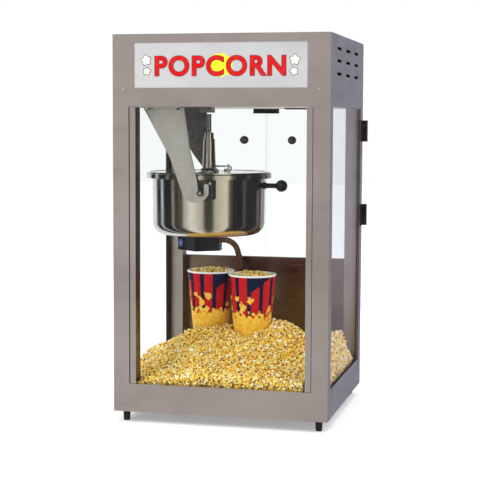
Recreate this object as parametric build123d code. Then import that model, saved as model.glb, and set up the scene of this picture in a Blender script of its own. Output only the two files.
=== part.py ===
"""Countertop popcorn machine: a glazed steel cabinet with a hanging, tilting kettle.

Frame: +X is the customer's right, the front faces -Y, +Z is up. The origin is the middle of the
whole machine's box, on the surface that the feet stand on. All sizes are in millimetres.
"""
from build123d import *
import os
from math import cos, exp, radians

# ---- driving dimensions ------------------------------------------------------------------
WIDTH = 600.0
DEPTH = 575.0
CABINET_H = 1035.0
FOOT_H = 30.0
POST = 45.0
SHEET = 1.2
KICK_H = 78.0
SIDE_RAIL_H = 82.0
CEILING_H = 840.0
HEADER_TOP = 868.5
REAR_PANEL_H = 384.0
DECK_H = 66.0
GLASS_T = 4.0
DOOR_T = 5.0
SCREW_PROUD = 2.0
KNOB_REACH = 36.0

# ---- kettle and its drive ------------------------------------------------------------------
KETTLE_X = -95.0
KETTLE_DEPTH = 250.0
KETTLE_R = 163.0
KETTLE_BOTTOM = 478.0
KETTLE_RIM = 640.0
RIM_R = 180.5
LID_TOP = 656.3
PIVOT_X = -66.5
PIVOT_H = 605.0
PIN_R = 8.5
ARM_NEAR = 55.0
ARM_FAR = 442.0
ARM_T = 3.0
BRIDGE_W = 54.0
SHAFT_R = 6.3
SHAFT_TOP = 822.0
BLOCK_BOTTOM = 826.0

RUN = 0.05
GAP = 0.5
HALF = WIDTH / 2
FRONT_Y = -(DEPTH + KNOB_REACH - SCREW_PROUD) / 2


def at_depth(distance):
    """Y of a point that lies this far behind the cabinet's front face."""
    return FRONT_Y + distance


def at_height(height):
    """Z of a point that lies this far above the cabinet's bottom edge."""
    return FOOT_H + height


def block(x, depth, height):
    """Box between two X values, two depths behind the front and two heights."""
    size = Box(x[1] - x[0], depth[1] - depth[0], height[1] - height[0])
    middle = (sum(x) / 2, at_depth(sum(depth) / 2), at_height(sum(height) / 2))
    return Pos(*middle) * size


def post_rod(x, depth, radius, height):
    """Upright cylinder."""
    middle = (x, at_depth(depth), at_height(sum(height) / 2))
    return Pos(*middle) * Cylinder(radius, height[1] - height[0])


def depth_rod(x, height, radius, depth):
    """Cylinder along Y."""
    middle = (x, at_depth(sum(depth) / 2), at_height(height))
    return Pos(*middle) * Rot(90, 0, 0) * Cylinder(radius, depth[1] - depth[0])


def cross_rod(depth, height, radius, x):
    """Cylinder along X."""
    middle = (sum(x) / 2, at_depth(depth), at_height(height))
    return Pos(*middle) * Rot(0, 90, 0) * Cylinder(radius, x[1] - x[0])


def turned(points, x, depth):
    """Solid of revolution about an upright axis, from a closed (radius, height) outline."""
    outline = make_face(Polyline(*[(r, 0, at_height(h)) for r, h in points], close=True))
    return Pos(x, at_depth(depth), 0) * revolve(outline, Axis.Z)


def frontal_plate(edges, depth, thickness):
    """Plate parallel to the front, from edges drawn as (x, height) pairs on the XZ plane."""
    face = make_face(Curve() + edges)
    solid = extrude(face, amount=-thickness)
    return Pos(0, at_depth(depth), FOOT_H) * solid


def mirrored(solid):
    """The same piece on the other side of the cabinet."""
    return mirror(solid, about=Plane.YZ)


def save(name, *solids):
    """Write one node, joining several solids in a group."""
    shape = solids[0] if len(solids) == 1 else Compound(list(solids))
    export_step(shape, f"parts/{name}.step")


# ---- frame -------------------------------------------------------------------------------
SPIGOT_TOP = 905.0
SPIGOT_GRIP = 40.0
SPIGOT_INSET = SHEET + 0.1
FOOT_INSET = 28.0
FOOT_SCREW_R = 3.0
POST_PLUG_T = 6.0


def corner_post(left, front):
    """Folded 45 mm tube with a tapped plug at the foot and a narrower spigot inside the sign box."""
    x0 = -HALF if left else HALF - POST
    d0 = 0.0 if front else DEPTH - POST
    tube = block((x0, x0 + POST), (d0, d0 + POST), (0, HEADER_TOP))
    x_in, d_in = (x0 + SHEET, x0 + POST - SHEET), (d0 + SHEET, d0 + POST - SHEET)
    tube -= block(x_in, d_in, (POST_PLUG_T, HEADER_TOP))
    x_sp = (x0 + SPIGOT_INSET, x0 + POST - SPIGOT_INSET)
    d_sp = (d0 + SPIGOT_INSET, d0 + POST - SPIGOT_INSET)
    spigot = block(x_sp, d_sp, (HEADER_TOP - SPIGOT_GRIP, SPIGOT_TOP))
    x_hollow, d_hollow = (x_sp[0] + SHEET, x_sp[1] - SHEET), (d_sp[0] + SHEET, d_sp[1] - SHEET)
    spigot -= block(x_hollow, d_hollow, (HEADER_TOP - SPIGOT_GRIP, SPIGOT_TOP))
    bridge = block(x_in, d_in, (HEADER_TOP - SPIGOT_GRIP, HEADER_TOP - SPIGOT_GRIP + 2))
    bridge -= block(x_hollow, d_hollow, (0, HEADER_TOP))
    foot_x = -HALF + FOOT_INSET if left else HALF - FOOT_INSET
    foot_d = FOOT_INSET + 2 if front else DEPTH - FOOT_INSET - 2
    tapped = post_rod(foot_x, foot_d, FOOT_SCREW_R + RUN, (-1, POST_PLUG_T + 1))
    return tube + spigot + bridge - tapped


def corner_notches(height, clearance):
    """The four blocks that the posts take out of a full-footprint sheet."""
    reach = POST + clearance
    for x in ((-HALF, -HALF + reach), (HALF - reach, HALF)):
        for depth in ((0, reach), (DEPTH - reach, DEPTH)):
            yield block(x, depth, height)


MOTOR_HOLE_R = 15.0
LAMP_SLOT = ((118.0, 209.0), (312.0, 348.0))
ARM_BOLT_R = 4.0
BOLT_PLAY = 0.25
ARM_FLANGE = 28.0
ARM_TOP_X = (-232.0, -114.0)
ARM_BOLT_INSET = 18.0
FAR_ARM_SHIFT = -42.0


def arm_bolts(near):
    """X and depth of each bolt in the near or the far hanger arm's top flange."""
    shift = 0.0 if near else FAR_ARM_SHIFT
    depth = ARM_NEAR - ARM_FLANGE / 2 if near else ARM_FAR + ARM_T + ARM_FLANGE / 2
    return [(ARM_TOP_X[0] + ARM_BOLT_INSET + shift, depth), (ARM_TOP_X[1] - ARM_BOLT_INSET + shift, depth)]


def ceiling_pan():
    """Ceiling sheet whose four upturned edges are the header rails between the posts."""
    height = (CEILING_H, HEADER_TOP)
    pan = block((-HALF, HALF), (0, DEPTH), height)
    pan -= block((-HALF + SHEET, HALF - SHEET), (SHEET, DEPTH - SHEET), (CEILING_H + SHEET, HEADER_TOP))
    for notch in corner_notches(height, 0.0):
        pan -= notch
    pan -= post_rod(KETTLE_X, KETTLE_DEPTH, MOTOR_HOLE_R, (CEILING_H - 1, CEILING_H + 3))
    pan -= block(LAMP_SLOT[0], LAMP_SLOT[1], (CEILING_H - 1, CEILING_H + 3))
    for x, depth in arm_bolts(near=True) + arm_bolts(near=False):
        pan -= post_rod(x, depth, ARM_BOLT_R + BOLT_PLAY, (CEILING_H - 1, CEILING_H + 3))
    return pan


RUNNER_TOP = 7.5
DRAWER_X = 168.0
DRAWER_FRONT = 240.0
DRAWER_H = (8.0, 58.0)


def base_pan():
    """Bottom sheet with upturned side rails and two stamped runners for the drawer."""
    side_h = (0, SIDE_RAIL_H)
    pan = block((-HALF, HALF), (SHEET, DEPTH - SHEET), side_h)
    pan -= block((-HALF + SHEET, HALF - SHEET), (0, DEPTH), (SHEET, SIDE_RAIL_H))
    for notch in corner_notches(side_h, 0.0):
        pan -= notch
    for side in (-1, 1):
        middle = side * (DRAWER_X - 30)
        pan += block((middle - 10, middle + 10), (DRAWER_FRONT, DEPTH - 10), (0, RUNNER_TOP))
    return pan


LEDGE = 14.0


def kick_panel():
    """Front bottom panel with a ledge under the front glass."""
    x = (-HALF + POST, HALF - POST)
    return block(x, (0, SHEET), (0, KICK_H)) + block(x, (0, LEDGE), (KICK_H - SHEET, KICK_H))


DRAWER_MOUTH = (6.0, 61.0)


def rear_panel():
    """Panel below the doors, with a return at the top and the drawer's mouth at the bottom."""
    x = (-HALF + POST, HALF - POST)
    panel = block(x, (DEPTH - SHEET, DEPTH), (0, REAR_PANEL_H))
    panel += block(x, (DEPTH - 18, DEPTH), (REAR_PANEL_H - SHEET, REAR_PANEL_H))
    mouth_x = (-DRAWER_X - 2, DRAWER_X + 2)
    return panel - block(mouth_x, (DEPTH - 3, DEPTH + 1), DRAWER_MOUTH)


SIEVE_HOLE_R = 5.5
SIEVE_PITCH = 36.0
SIEVE_COLUMNS = 9
SIEVE_ROWS = 6


def deck_plate():
    """Floor that the popcorn lies on, sieve-drilled above the drawer."""
    height = (DECK_H, DECK_H + 1.5)
    plate = block((-HALF + 2, HALF - 2), (2, DEPTH - 2), height)
    for notch in corner_notches(height, 1.0):
        plate -= notch
    holes = []
    for column in range(SIEVE_COLUMNS):
        for row in range(SIEVE_ROWS):
            x = (column - (SIEVE_COLUMNS - 1) / 2) * SIEVE_PITCH
            depth = 410 + (row - (SIEVE_ROWS - 1) / 2) * SIEVE_PITCH
            holes.append(post_rod(x, depth, SIEVE_HOLE_R, (DECK_H - 1, DECK_H + 3)))
    return plate - holes


def crumb_drawer():
    """Tray for unpopped kernels that pulls out at the operator's side."""
    tray = block((-DRAWER_X + 2, DRAWER_X - 2), (DRAWER_FRONT, DEPTH), DRAWER_H)
    tray -= block((-DRAWER_X + 3.2, DRAWER_X - 3.2), (DRAWER_FRONT + 1.2, DEPTH - 1.5), (9.2, 60))
    tray += block((-60, 60), (DEPTH, DEPTH + 18), (DRAWER_H[1] - 3, DRAWER_H[1] - 1))
    tray += block((-60, 60), (DEPTH + 16.5, DEPTH + 18), (DRAWER_H[1] - 12, DRAWER_H[1] - 1))
    return tray


def feet_and_screws():
    """Four rubber feet and the screws that hold them to the posts' plugs."""
    feet, screws = [], []
    for x in (-HALF + FOOT_INSET, HALF - FOOT_INSET):
        for depth in (FOOT_INSET + 2, DEPTH - FOOT_INSET - 2):
            outline = [(3.2, 0), (10.0, 0), (10.0, -4), (9.0, -27), (8.0, -FOOT_H), (6.4, -FOOT_H)]
            outline += [(6.4, -16), (3.2, -16)]
            feet.append(turned(outline, x, depth))
            screws.append(turned([(0, 5), (3, 5), (3, -16.2), (6, -16.2), (6, -21), (0, -21)], x, depth))
    return feet, screws


# ---- glazing -------------------------------------------------------------------------------
SIDE_GLASS_IN = 4.0
GLASS_BOTTOM = SIDE_RAIL_H + 1.0
GLASS_TOP = CEILING_H - 1.0
CHANNEL_IN = 237.0
JAMB_DEPTH = 495.0


def glazing():
    """Fixed panes, the strips that hold them and their rubber seals."""
    front = block((-253, 253), (8, 8 + GLASS_T), (KICK_H + GAP, GLASS_TOP))
    side_x = (-HALF + SIDE_GLASS_IN, -HALF + SIDE_GLASS_IN + GLASS_T)
    left = block(side_x, (POST + 1.5, DEPTH - POST - 1.5), (GLASS_BOTTOM, GLASS_TOP))
    side_depth = (POST + 1, DEPTH - POST - 1)
    channel_h = (KICK_H + GAP, GLASS_TOP)
    channel = block((-253, -CHANNEL_IN), (2.5, 7.5), channel_h)
    liner = block((-CHANNEL_IN - SHEET, -CHANNEL_IN), (8.05 + GLASS_T, POST), channel_h)
    liner += block((-HALF + POST + 0.1, -CHANNEL_IN), (POST - SHEET, POST), channel_h)
    side_seal = block((-HALF + 1.2, -HALF + 3.6), side_depth, (SIDE_RAIL_H + 0.5, SIDE_RAIL_H + 5))
    jamb = block((-HALF + 0.8, -HALF + 3.6), (JAMB_DEPTH, side_depth[1]), (SIDE_RAIL_H + 5.5, GLASS_TOP))
    return front, left, channel, liner, side_seal, jamb


# ---- sign box ------------------------------------------------------------------------------
BOX_WALL = 1.2
WINDOW_X = 238.5
WINDOW_H = (890.0, 1011.0)
BOX_SCREW_H = 887.0
SLOT_DEPTHS = (136.0, 286.0, 434.0)
SLOT_HEIGHTS = (930.0, 965.0, 998.0)
REAR_OPENING = (880.0, 1018.0)


def sign_box():
    """Wrapped sheet box with a sign window, louvre slots in both sides and an open service side."""
    box = block((-HALF, HALF), (0, DEPTH), (HEADER_TOP, CABINET_H))
    top_edges = box.faces().sort_by(Axis.Z)[-1].edges()
    rear = top_edges.sort_by(Axis.Y)[-1]
    box = fillet(rear, 12)
    front = box.faces().sort_by(Axis.Z)[-1].edges().sort_by(Axis.Y)[0]
    box = fillet(front, 2.5)
    inner_x = (-HALF + BOX_WALL, HALF - BOX_WALL)
    box -= block(inner_x, (BOX_WALL, DEPTH - BOX_WALL), (HEADER_TOP - 1, CABINET_H - 12))
    box -= block(inner_x, (BOX_WALL + 2, DEPTH - 13), (CABINET_H - 13, CABINET_H - BOX_WALL))
    box -= block((-WINDOW_X, WINDOW_X), (-1, 2), WINDOW_H)
    box -= block((-HALF + 20, HALF - 20), (DEPTH - 2, DEPTH + 1), REAR_OPENING)
    for depth in SLOT_DEPTHS:
        for height in SLOT_HEIGHTS:
            slot = block((-HALF - 1, HALF + 1), (depth - 29, depth + 29), (height - 4, height + 4))
            ends = [cross_rod(depth + s * 29, height, 4, (-HALF - 1, HALF + 1)) for s in (-1, 1)]
            box -= [slot] + ends
    for x, depth, along_x in box_screw_places():
        if along_x:
            box -= cross_rod(depth, BOX_SCREW_H, 2.1, (x - 3, x + 3))
        else:
            box -= depth_rod(x, BOX_SCREW_H, 2.1, (-2, 3))
    return box


def box_screw_places():
    """X, depth and whether the screw points along X, for each screw of the sign box."""
    places = [(-HALF + 31, 0.0, False), (HALF - 31, 0.0, False)]
    for x in (-HALF, HALF):
        places += [(x, 30.0, True), (x, DEPTH - 34.0, True)]
    return places


def box_screws():
    """Pan-head screws that pin the sign box to the posts' spigots."""
    screws = []
    for x, depth, along_x in box_screw_places():
        head_outline = [(0, -1.1), (2, -1.1), (2, 0.05), (4.2, 0.05), (3.6, SCREW_PROUD), (0, SCREW_PROUD)]
        face = make_face(Polyline(*[(r, 0, h) for r, h in head_outline], close=True))
        screw = revolve(face, Axis.Z)
        if along_x:
            turn = 90 if x > 0 else -90
            screws.append(Pos(x, at_depth(depth), at_height(BOX_SCREW_H)) * Rot(0, turn, 0) * screw)
        else:
            screws.append(Pos(x, at_depth(depth), at_height(BOX_SCREW_H)) * Rot(90, 0, 0) * screw)
    return screws


SWITCHES = {"switch_heat": 60.0, "switch_motor": 110.0, "switch_light": 160.0}
SWITCH_H = 950.0
ROCKER_TILT = 9.0
PANEL_T = 1.5


def control_panel():
    """Rear service cover that carries the switches and the cable gland."""
    panel = block((-HALF + 12, HALF - 12), (DEPTH + 0.05, DEPTH + 0.05 + PANEL_T), (874, 1022))
    for x in SWITCHES.values():
        panel -= block((x - 14, x + 14), (DEPTH - 1, DEPTH + 3), (SWITCH_H - 20, SWITCH_H + 20))
    panel -= depth_rod(-220, 910, 8.2, (DEPTH - 1, DEPTH + 3))
    return panel


def switch_bezels():
    """Black switch housings with open fronts, one per rocker."""
    bezels = []
    for x in SWITCHES.values():
        body = block((x - 13.5, x + 13.5), (DEPTH - 18, DEPTH + 4), (SWITCH_H - 19.5, SWITCH_H + 19.5))
        flange = block((x - 17, x + 17), (DEPTH + 1.6, DEPTH + 4), (SWITCH_H - 23, SWITCH_H + 23))
        hollow = block((x - 11, x + 11), (DEPTH - 12, DEPTH + 5), (SWITCH_H - 17, SWITCH_H + 17))
        bezels.append(body + flange - hollow)
    return bezels


def rocker(x):
    """Rocker cap, tilted to its off position about a cross axis."""
    side = [(-3, -14), (4, -14), (1.5, 0), (4, 14), (-3, 14)]
    face = make_face(Polyline(*[(0, y, z) for y, z in side], close=True))
    cap = extrude(face, amount=10.5, both=True) + Pos(0, -5, 0) * Box(8, 6, 8)
    return Pos(x, at_depth(DEPTH + 2), at_height(SWITCH_H)) * Rot(ROCKER_TILT, 0, 0) * cap


def power_gland():
    """Cable gland with a through hole, nut inside."""
    gland = depth_rod(-220, 910, 8.0, (DEPTH - 10, DEPTH + 14))
    gland += depth_rod(-220, 910, 12.5, (DEPTH + 1.6, DEPTH + 7))
    gland += depth_rod(-220, 910, 12.0, (DEPTH - 8, DEPTH - 1.25))
    return gland - depth_rod(-220, 910, 4.5, (DEPTH - 12, DEPTH + 16))


def sign_lamp():
    """Tube lamp on a channel behind the sign, with its two holders."""
    tube = cross_rod(60, 950, 13, (-230, 230))
    channel = block((-260, 260), (85, 110), (935, 965))
    holders = []
    for side in (-1, 1):
        x = (230.2, 246) if side > 0 else (-246, -230.2)
        holders.append(block(x, (44, 84.8), (932, 968)))
    return [tube, channel] + holders


# ---- drive above the ceiling ---------------------------------------------------------------
SOCKET_R = 8.5
COUPLING_R = 20.0
BLOCK_X = (-119.0, -83.5)
BLOCK_HALF_DEPTH = 20.0


def drive_pieces():
    """Gearmotor, the bearing block below the ceiling and the turning socket inside it."""
    plate_top = CEILING_H + SHEET + 3
    x, d = KETTLE_X, KETTLE_DEPTH
    motor = block((x - 60, x + 60), (d - 50, d + 50), (CEILING_H + SHEET + 0.02, plate_top))
    motor += block((x - 40, x + 45), (d - 36, d + 36), (plate_top, plate_top + 52))
    motor += post_rod(x + 6, d, 34, (plate_top + 52, plate_top + 132))
    motor -= post_rod(x, d, COUPLING_R + 0.5, (CEILING_H, plate_top + 20))
    block_depth = (d - BLOCK_HALF_DEPTH, d + BLOCK_HALF_DEPTH)
    bearing = block(BLOCK_X, block_depth, (BLOCK_BOTTOM, CEILING_H - 0.02))
    bearing -= post_rod(x, d, SOCKET_R + RUN, (BLOCK_BOTTOM - 1, CEILING_H + 1))
    socket = post_rod(x, d, SOCKET_R, (BLOCK_BOTTOM + 0.5, plate_top + 19))
    socket += post_rod(x, d, COUPLING_R, (plate_top, plate_top + 19))
    socket -= block((x - 2.5, x + 2.5), (d - 9, d + 9), (BLOCK_BOTTOM, BLOCK_BOTTOM + 6))
    return motor, bearing, socket


# ---- hanger arms ---------------------------------------------------------------------------
def frontal_polygon(points, depth, thickness):
    """Plate parallel to the front with straight edges, from (x, height) corners."""
    edges = [Line(a, b).rotate(Axis.X, 90) for a, b in zip(points, points[1:] + points[:1])]
    return frontal_plate(edges, depth, thickness)


def hanger_arm(near):
    """Sheet arm that widens to the ceiling, with an open hook that carries a kettle pin."""
    depth, shift = (ARM_NEAR, 0.0) if near else (ARM_FAR, FAR_ARM_SHIFT)
    slot = PIN_R + 0.1
    px, pz = PIVOT_X, PIVOT_H
    top = CEILING_H - 0.02
    top_left, top_right = (ARM_TOP_X[0] + shift, top), (ARM_TOP_X[1] + shift, top)
    left_knee, right_mid, right_low = (-156 + shift, 704), (-98 + shift, 728), (-81 + shift, 655)
    outline = [
        Line(top_left, left_knee),
        Line(left_knee, (-118, 600)),
        ThreePointArc((-118, 600), (px - 4, pz - 25), (px + 22, pz - 2)),
        Line((px + 22, pz - 2), (px + 22, 625)),
        ThreePointArc((px + 22, 625), (px + 15, 630), (px + slot, 625)),
        Line((px + slot, 625), (px + slot, pz)),
        ThreePointArc((px + slot, pz), (px, pz - slot), (px - slot, pz)),
        Line((px - slot, pz), (px - slot, 622)),
        Line((px - slot, 622), right_low),
        Line(right_low, right_mid),
        Line(right_mid, top_right),
        Line(top_right, top_left),
    ]
    arm = frontal_plate([edge.rotate(Axis.X, 90) for edge in outline], depth, ARM_T)
    lip = [right_low, right_mid, top_right]
    lip += [(x - 2, height) for x, height in reversed(lip)]
    arm += frontal_polygon(lip, depth - 6, 6 + ARM_T)
    flange_depth = (depth - ARM_FLANGE, depth + ARM_T) if near else (depth, depth + ARM_T + ARM_FLANGE)
    flange_x = (top_left[0] + 2, top_right[0] - 3)
    arm += block(flange_x, flange_depth, (CEILING_H - 3, top))
    bolt_h = (CEILING_H - 5, CEILING_H + 1)
    return arm - [post_rod(x, d, ARM_BOLT_R + BOLT_PLAY, bolt_h) for x, d in arm_bolts(near)]


HEX_R = 7.2


def hanger_bolts():
    """Bolt through each flange hole, with its nut on top of the ceiling sheet."""
    bolts = []
    for x, depth in arm_bolts(near=True) + arm_bolts(near=False):
        bolt = post_rod(x, depth, ARM_BOLT_R, (CEILING_H - 8, CEILING_H + 9))
        head = extrude(RegularPolygon(HEX_R, 6), 5)
        bolt += Pos(x, at_depth(depth), at_height(CEILING_H - 8.1)) * head
        nut = extrude(RegularPolygon(HEX_R, 6), 6)
        bolt += Pos(x, at_depth(depth), at_height(CEILING_H + SHEET + 0.05)) * nut
        bolts.append(bolt)
    return bolts


# ---- kettle --------------------------------------------------------------------------------
SHELL_T = 1.5
SHELL_CORNER = 34.0
PAN_R = 150.0
PAN_T = 2.0
PAN_FLOOR = 500.0


def dished(outer_r, floor, top, wall, corner, foot_r):
    """Round pan with a rounded bottom corner, from its outer sizes."""
    def profile(inset):
        r_top, r_low, low = outer_r - inset, foot_r - inset, floor + inset
        bend = corner - inset
        middle = bend * (1 - cos(radians(45)))
        centre = r_low - bend
        arc = ThreePointArc((centre, low), (r_low - middle, low + middle), (r_low, low + bend))
        return [Line((0, low), (centre, low)), arc, Line((r_low, low + bend), (r_top, top))], (r_top, top)

    solids = []
    for inset in (0.0, wall):
        edges, end = profile(inset)
        edges += [Line(end, (0, top)), Line((0, top), (0, floor + inset))]
        face = make_face(Curve() + [edge.rotate(Axis.X, 90) for edge in edges])
        solids.append(Pos(KETTLE_X, at_depth(KETTLE_DEPTH), FOOT_H) * revolve(face, Axis.Z))
    return solids[0] - solids[1]


def kettle_rim():
    """Flat ring with an upright band and a rolled bead, which closes the jacket."""
    h = KETTLE_RIM
    ring = [(PAN_R - PAN_T, h), (RIM_R, h), (RIM_R, h + 12), (RIM_R - 2, h + 12), (RIM_R - 2, h + 2)]
    ring += [(PAN_R - PAN_T, h + 2)]
    rim = turned(ring, KETTLE_X, KETTLE_DEPTH)
    bead = Pos(KETTLE_X, at_depth(KETTLE_DEPTH), at_height(h + 12)) * Torus(RIM_R - 1.6, 1.6)
    return rim + bead


LID_BOTTOM = LID_TOP - 2.0
LID_R = 179.5
HINGE_H = LID_TOP + 3.6
KNUCKLE_R = 3.4
LID_PIN_R = 1.5
LID_PIN_DEPTHS = (150.0, 350.0)


def lid_bridge():
    """Fixed crossbar over the rim, with end feet, a hub and hinge knuckles for both lids."""
    x, d = KETTLE_X, KETTLE_DEPTH
    half = BRIDGE_W / 2
    disc = post_rod(x, d, LID_R, (LID_BOTTOM, LID_TOP))
    bar = disc & block((x - half, x + half), (0, DEPTH), (LID_BOTTOM, LID_TOP))
    for side in (-1, 1):
        inner = d + side * (RIM_R - 16)
        outer = d + side * (RIM_R - 5)
        bar += block((x - half + 2, x + half - 2), sorted((inner, outer)), (KETTLE_RIM + 2.02, LID_BOTTOM))
    for side in (-1, 1):
        axis_x = x + side * half
        for pin_depth in LID_PIN_DEPTHS:
            knuckle = depth_rod(axis_x, HINGE_H, KNUCKLE_R, (pin_depth - 9, pin_depth + 9))
            leg = sorted((axis_x, axis_x - side * 6))
            knuckle += block(leg, (pin_depth - 9, pin_depth + 9), (LID_TOP - 0.1, HINGE_H))
            bar += knuckle - depth_rod(axis_x, HINGE_H, LID_PIN_R + RUN, (pin_depth - 10, pin_depth + 10))
    return bar - post_rod(x, d, SHAFT_R + 0.6, (LID_BOTTOM - 1, LID_TOP + 1))


def kettle_lid(side):
    """Half lid on one side of the crossbar, with knuckles and pins on its straight edge."""
    x, d = KETTLE_X, KETTLE_DEPTH
    edge = x + side * (BRIDGE_W / 2 + GAP)
    disc = post_rod(x, d, LID_R, (LID_BOTTOM, LID_TOP))
    lid = disc & block(sorted((edge, edge + side * RIM_R)), (0, DEPTH), (LID_BOTTOM, LID_TOP))
    hem = post_rod(x, d, LID_R - 6, (LID_TOP - 0.2, LID_TOP + 1.2))
    hem -= post_rod(x, d, LID_R - 10, (LID_TOP - 1, LID_TOP + 2))
    lid += hem & block(sorted((edge + side * 2, edge + side * RIM_R)), (0, DEPTH), (LID_TOP - 1, LID_TOP + 2))
    axis_x = x + side * BRIDGE_W / 2
    for pin_depth in LID_PIN_DEPTHS:
        for end in (-1, 1):
            span = sorted((pin_depth + end * 9.5, pin_depth + end * 22))
            knuckle = depth_rod(axis_x, HINGE_H, KNUCKLE_R - 0.3, span)
            leg = sorted((axis_x + side * 0.5, axis_x + side * 7))
            lid += knuckle + block(leg, span, (LID_TOP - 0.1, HINGE_H))
        lid += depth_rod(axis_x, HINGE_H, LID_PIN_R, (pin_depth - 12, pin_depth + 12))
    return lid


BAIL_X = -45.0
BAIL_DEPTH = 214.0
BAIL_HALF = 24.0
BAIL_RISE = 13.0
BAIL_H = LID_TOP + 5.0
BAIL_WIRE_R = 2.4
LATCH_X = -33.0
LATCH_DEPTH = 230.0
LATCH_TOP = 680.0


def bail_lugs():
    """Two lugs on the right lid that hold the bail's feet."""
    lugs = []
    for side in (-1, 1):
        lug_x = BAIL_X + side * (BAIL_HALF - 8.5)
        span = (lug_x - 2, lug_x + 2)
        lug = block(span, (BAIL_DEPTH - 4, BAIL_DEPTH + 4), (LID_TOP - 0.1, BAIL_H))
        lug += cross_rod(BAIL_DEPTH, BAIL_H, 4, span)
        lugs.append(lug - cross_rod(BAIL_DEPTH, BAIL_H, BAIL_WIRE_R + RUN, (lug_x - 3, lug_x + 3)))
    return lugs


def lid_bail():
    """Folding wire loop that the right lid is lifted by."""
    corners = [(-BAIL_HALF + 12, 0), (-BAIL_HALF, 0), (-BAIL_HALF, BAIL_RISE)]
    corners += [(-x, z) for x, z in reversed(corners)]
    route = [Vector(BAIL_X + x, at_depth(BAIL_DEPTH), at_height(BAIL_H) + z) for x, z in corners]
    path = FilletPolyline(*route, radius=5.5)
    return sweep(Plane(origin=route[0], z_dir=(1, 0, 0)) * Circle(BAIL_WIRE_R), path=path)


def lid_latch():
    """Small upright pin with a collar on the right lid."""
    outline = [(0, LID_TOP - 0.1), (4, LID_TOP - 0.1), (4, LID_TOP + 5), (1.8, LID_TOP + 6)]
    outline += [(1.8, LATCH_TOP - 4), (2.4, LATCH_TOP - 3), (2.4, LATCH_TOP), (0, LATCH_TOP)]
    return turned(outline, LATCH_X, LATCH_DEPTH)


def stirrer_tube():
    """Flanged, slightly tapered tube round the stirrer shaft, with a collar bearing at its top."""
    low, high, collar_top = LID_TOP + 0.02, 751.0, 769.0
    bore = SHAFT_R + RUN
    outline = [(SHAFT_R + 1.5, low), (25, low), (25, low + 4), (21, low + 8), (19.6, low + 12)]
    outline += [(16.2, high), (13.2, high), (13.2, collar_top), (bore, collar_top), (bore, high - 6)]
    outline += [(14.2, high - 6), (17.0, low + 12), (SHAFT_R + 1.5, low + 8)]
    return turned(outline, KETTLE_X, KETTLE_DEPTH)


def stirrer():
    """Shaft from the drive socket down to a cross blade just above the pan's floor."""
    x, d = KETTLE_X, KETTLE_DEPTH
    shaft = post_rod(x, d, SHAFT_R, (PAN_FLOOR + 5, SHAFT_TOP))
    shaft = chamfer(shaft.faces().sort_by(Axis.Z)[-1].edges(), 1.2)
    hub = post_rod(x, d, 14, (PAN_FLOOR + 5, PAN_FLOOR + 22))
    blade = block((x - 130, x + 130), (d - 1.5, d + 1.5), (PAN_FLOOR + 4, PAN_FLOOR + 20))
    blade += block((x - 1.5, x + 1.5), (d - 95, d + 95), (PAN_FLOOR + 4, PAN_FLOOR + 16))
    return shaft + hub + blade


def heating_element():
    """Tubular ring heater in the jacket, under the pan."""
    return Pos(KETTLE_X, at_depth(KETTLE_DEPTH), at_height(490)) * Torus(100, 5)


TRUNNION_X = (-95.0, -35.0)
TRUNNION_H = (584.0, 638.5)


def trunnions():
    """Bracket and pin at the near and far side of the kettle."""
    jacket = post_rod(KETTLE_X, KETTLE_DEPTH, KETTLE_R + RUN, (560, 660))
    pieces = []
    for side in (-1, 1):
        reach = sorted(KETTLE_DEPTH + side * distance for distance in (120, 184))
        bracket = block(TRUNNION_X, reach, TRUNNION_H) - jacket
        bracket = fillet(bracket.edges().filter_by(Axis.Y).group_by(Axis.Z)[0], 8)
        pin_depth = sorted((KETTLE_DEPTH + side * 183, KETTLE_DEPTH + side * 206))
        pieces.append(bracket + depth_rod(PIVOT_X, PIVOT_H, PIN_R, pin_depth))
    return pieces


KNOB_R = 17.0
KNOB_X = 118.0
DUMP_H = 619.0


def dump_handle():
    """Rod with a mounting boss on the jacket, and its ball knob."""
    boss = cross_rod(KETTLE_DEPTH, DUMP_H, 9.5, (KETTLE_X + 150, KETTLE_X + 168))
    boss -= post_rod(KETTLE_X, KETTLE_DEPTH, KETTLE_R + RUN, (590, 650))
    rod = boss + cross_rod(KETTLE_DEPTH, DUMP_H, 7.0, (KETTLE_X + 165, KNOB_X - 6))
    ball = Pos(KNOB_X, at_depth(KETTLE_DEPTH), at_height(DUMP_H)) * Sphere(KNOB_R)
    ball -= cross_rod(KETTLE_DEPTH, DUMP_H, 7.05, (90, KNOB_X - 5.8))
    return rod, ball


# ---- inside services -----------------------------------------------------------------------
BOX_H = (405.0, 462.0)
BOX_CORNER = (-192.0, 445.0)
BOX_LEFT = (-263.0, 505.0)
BOX_RIGHT = (-127.0, 488.0)
LENS_R = 12.0
LENS_H = 427.0


def junction_box():
    """Kettle outlet box fixed to the rear post, with two front faces and a round pilot lens."""
    back, step_x, step_depth = DEPTH - POST - 0.05, 1.0 - HALF + POST, 524.0
    plan = [BOX_LEFT, BOX_CORNER, BOX_RIGHT, (BOX_RIGHT[0], step_depth)]
    plan += [(step_x, step_depth), (step_x, back), (BOX_LEFT[0], back)]
    corners = [(x, at_depth(depth), at_height(BOX_H[0])) for x, depth in plan]
    box = extrude(make_face(Polyline(*corners, close=True)), amount=BOX_H[1] - BOX_H[0], dir=(0, 0, 1))
    along = Vector(BOX_LEFT[0] - BOX_CORNER[0], BOX_LEFT[1] - BOX_CORNER[1], 0).normalized()
    outward = Vector(-along.Y, along.X, 0)
    seat = Vector(BOX_CORNER[0], at_depth(BOX_CORNER[1]), at_height(LENS_H)) + along * 70
    face = Plane(origin=seat - outward, z_dir=outward) * Circle(LENS_R)
    return box + extrude(face, amount=5, dir=outward)


CONDUIT_R = 9.0


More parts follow.
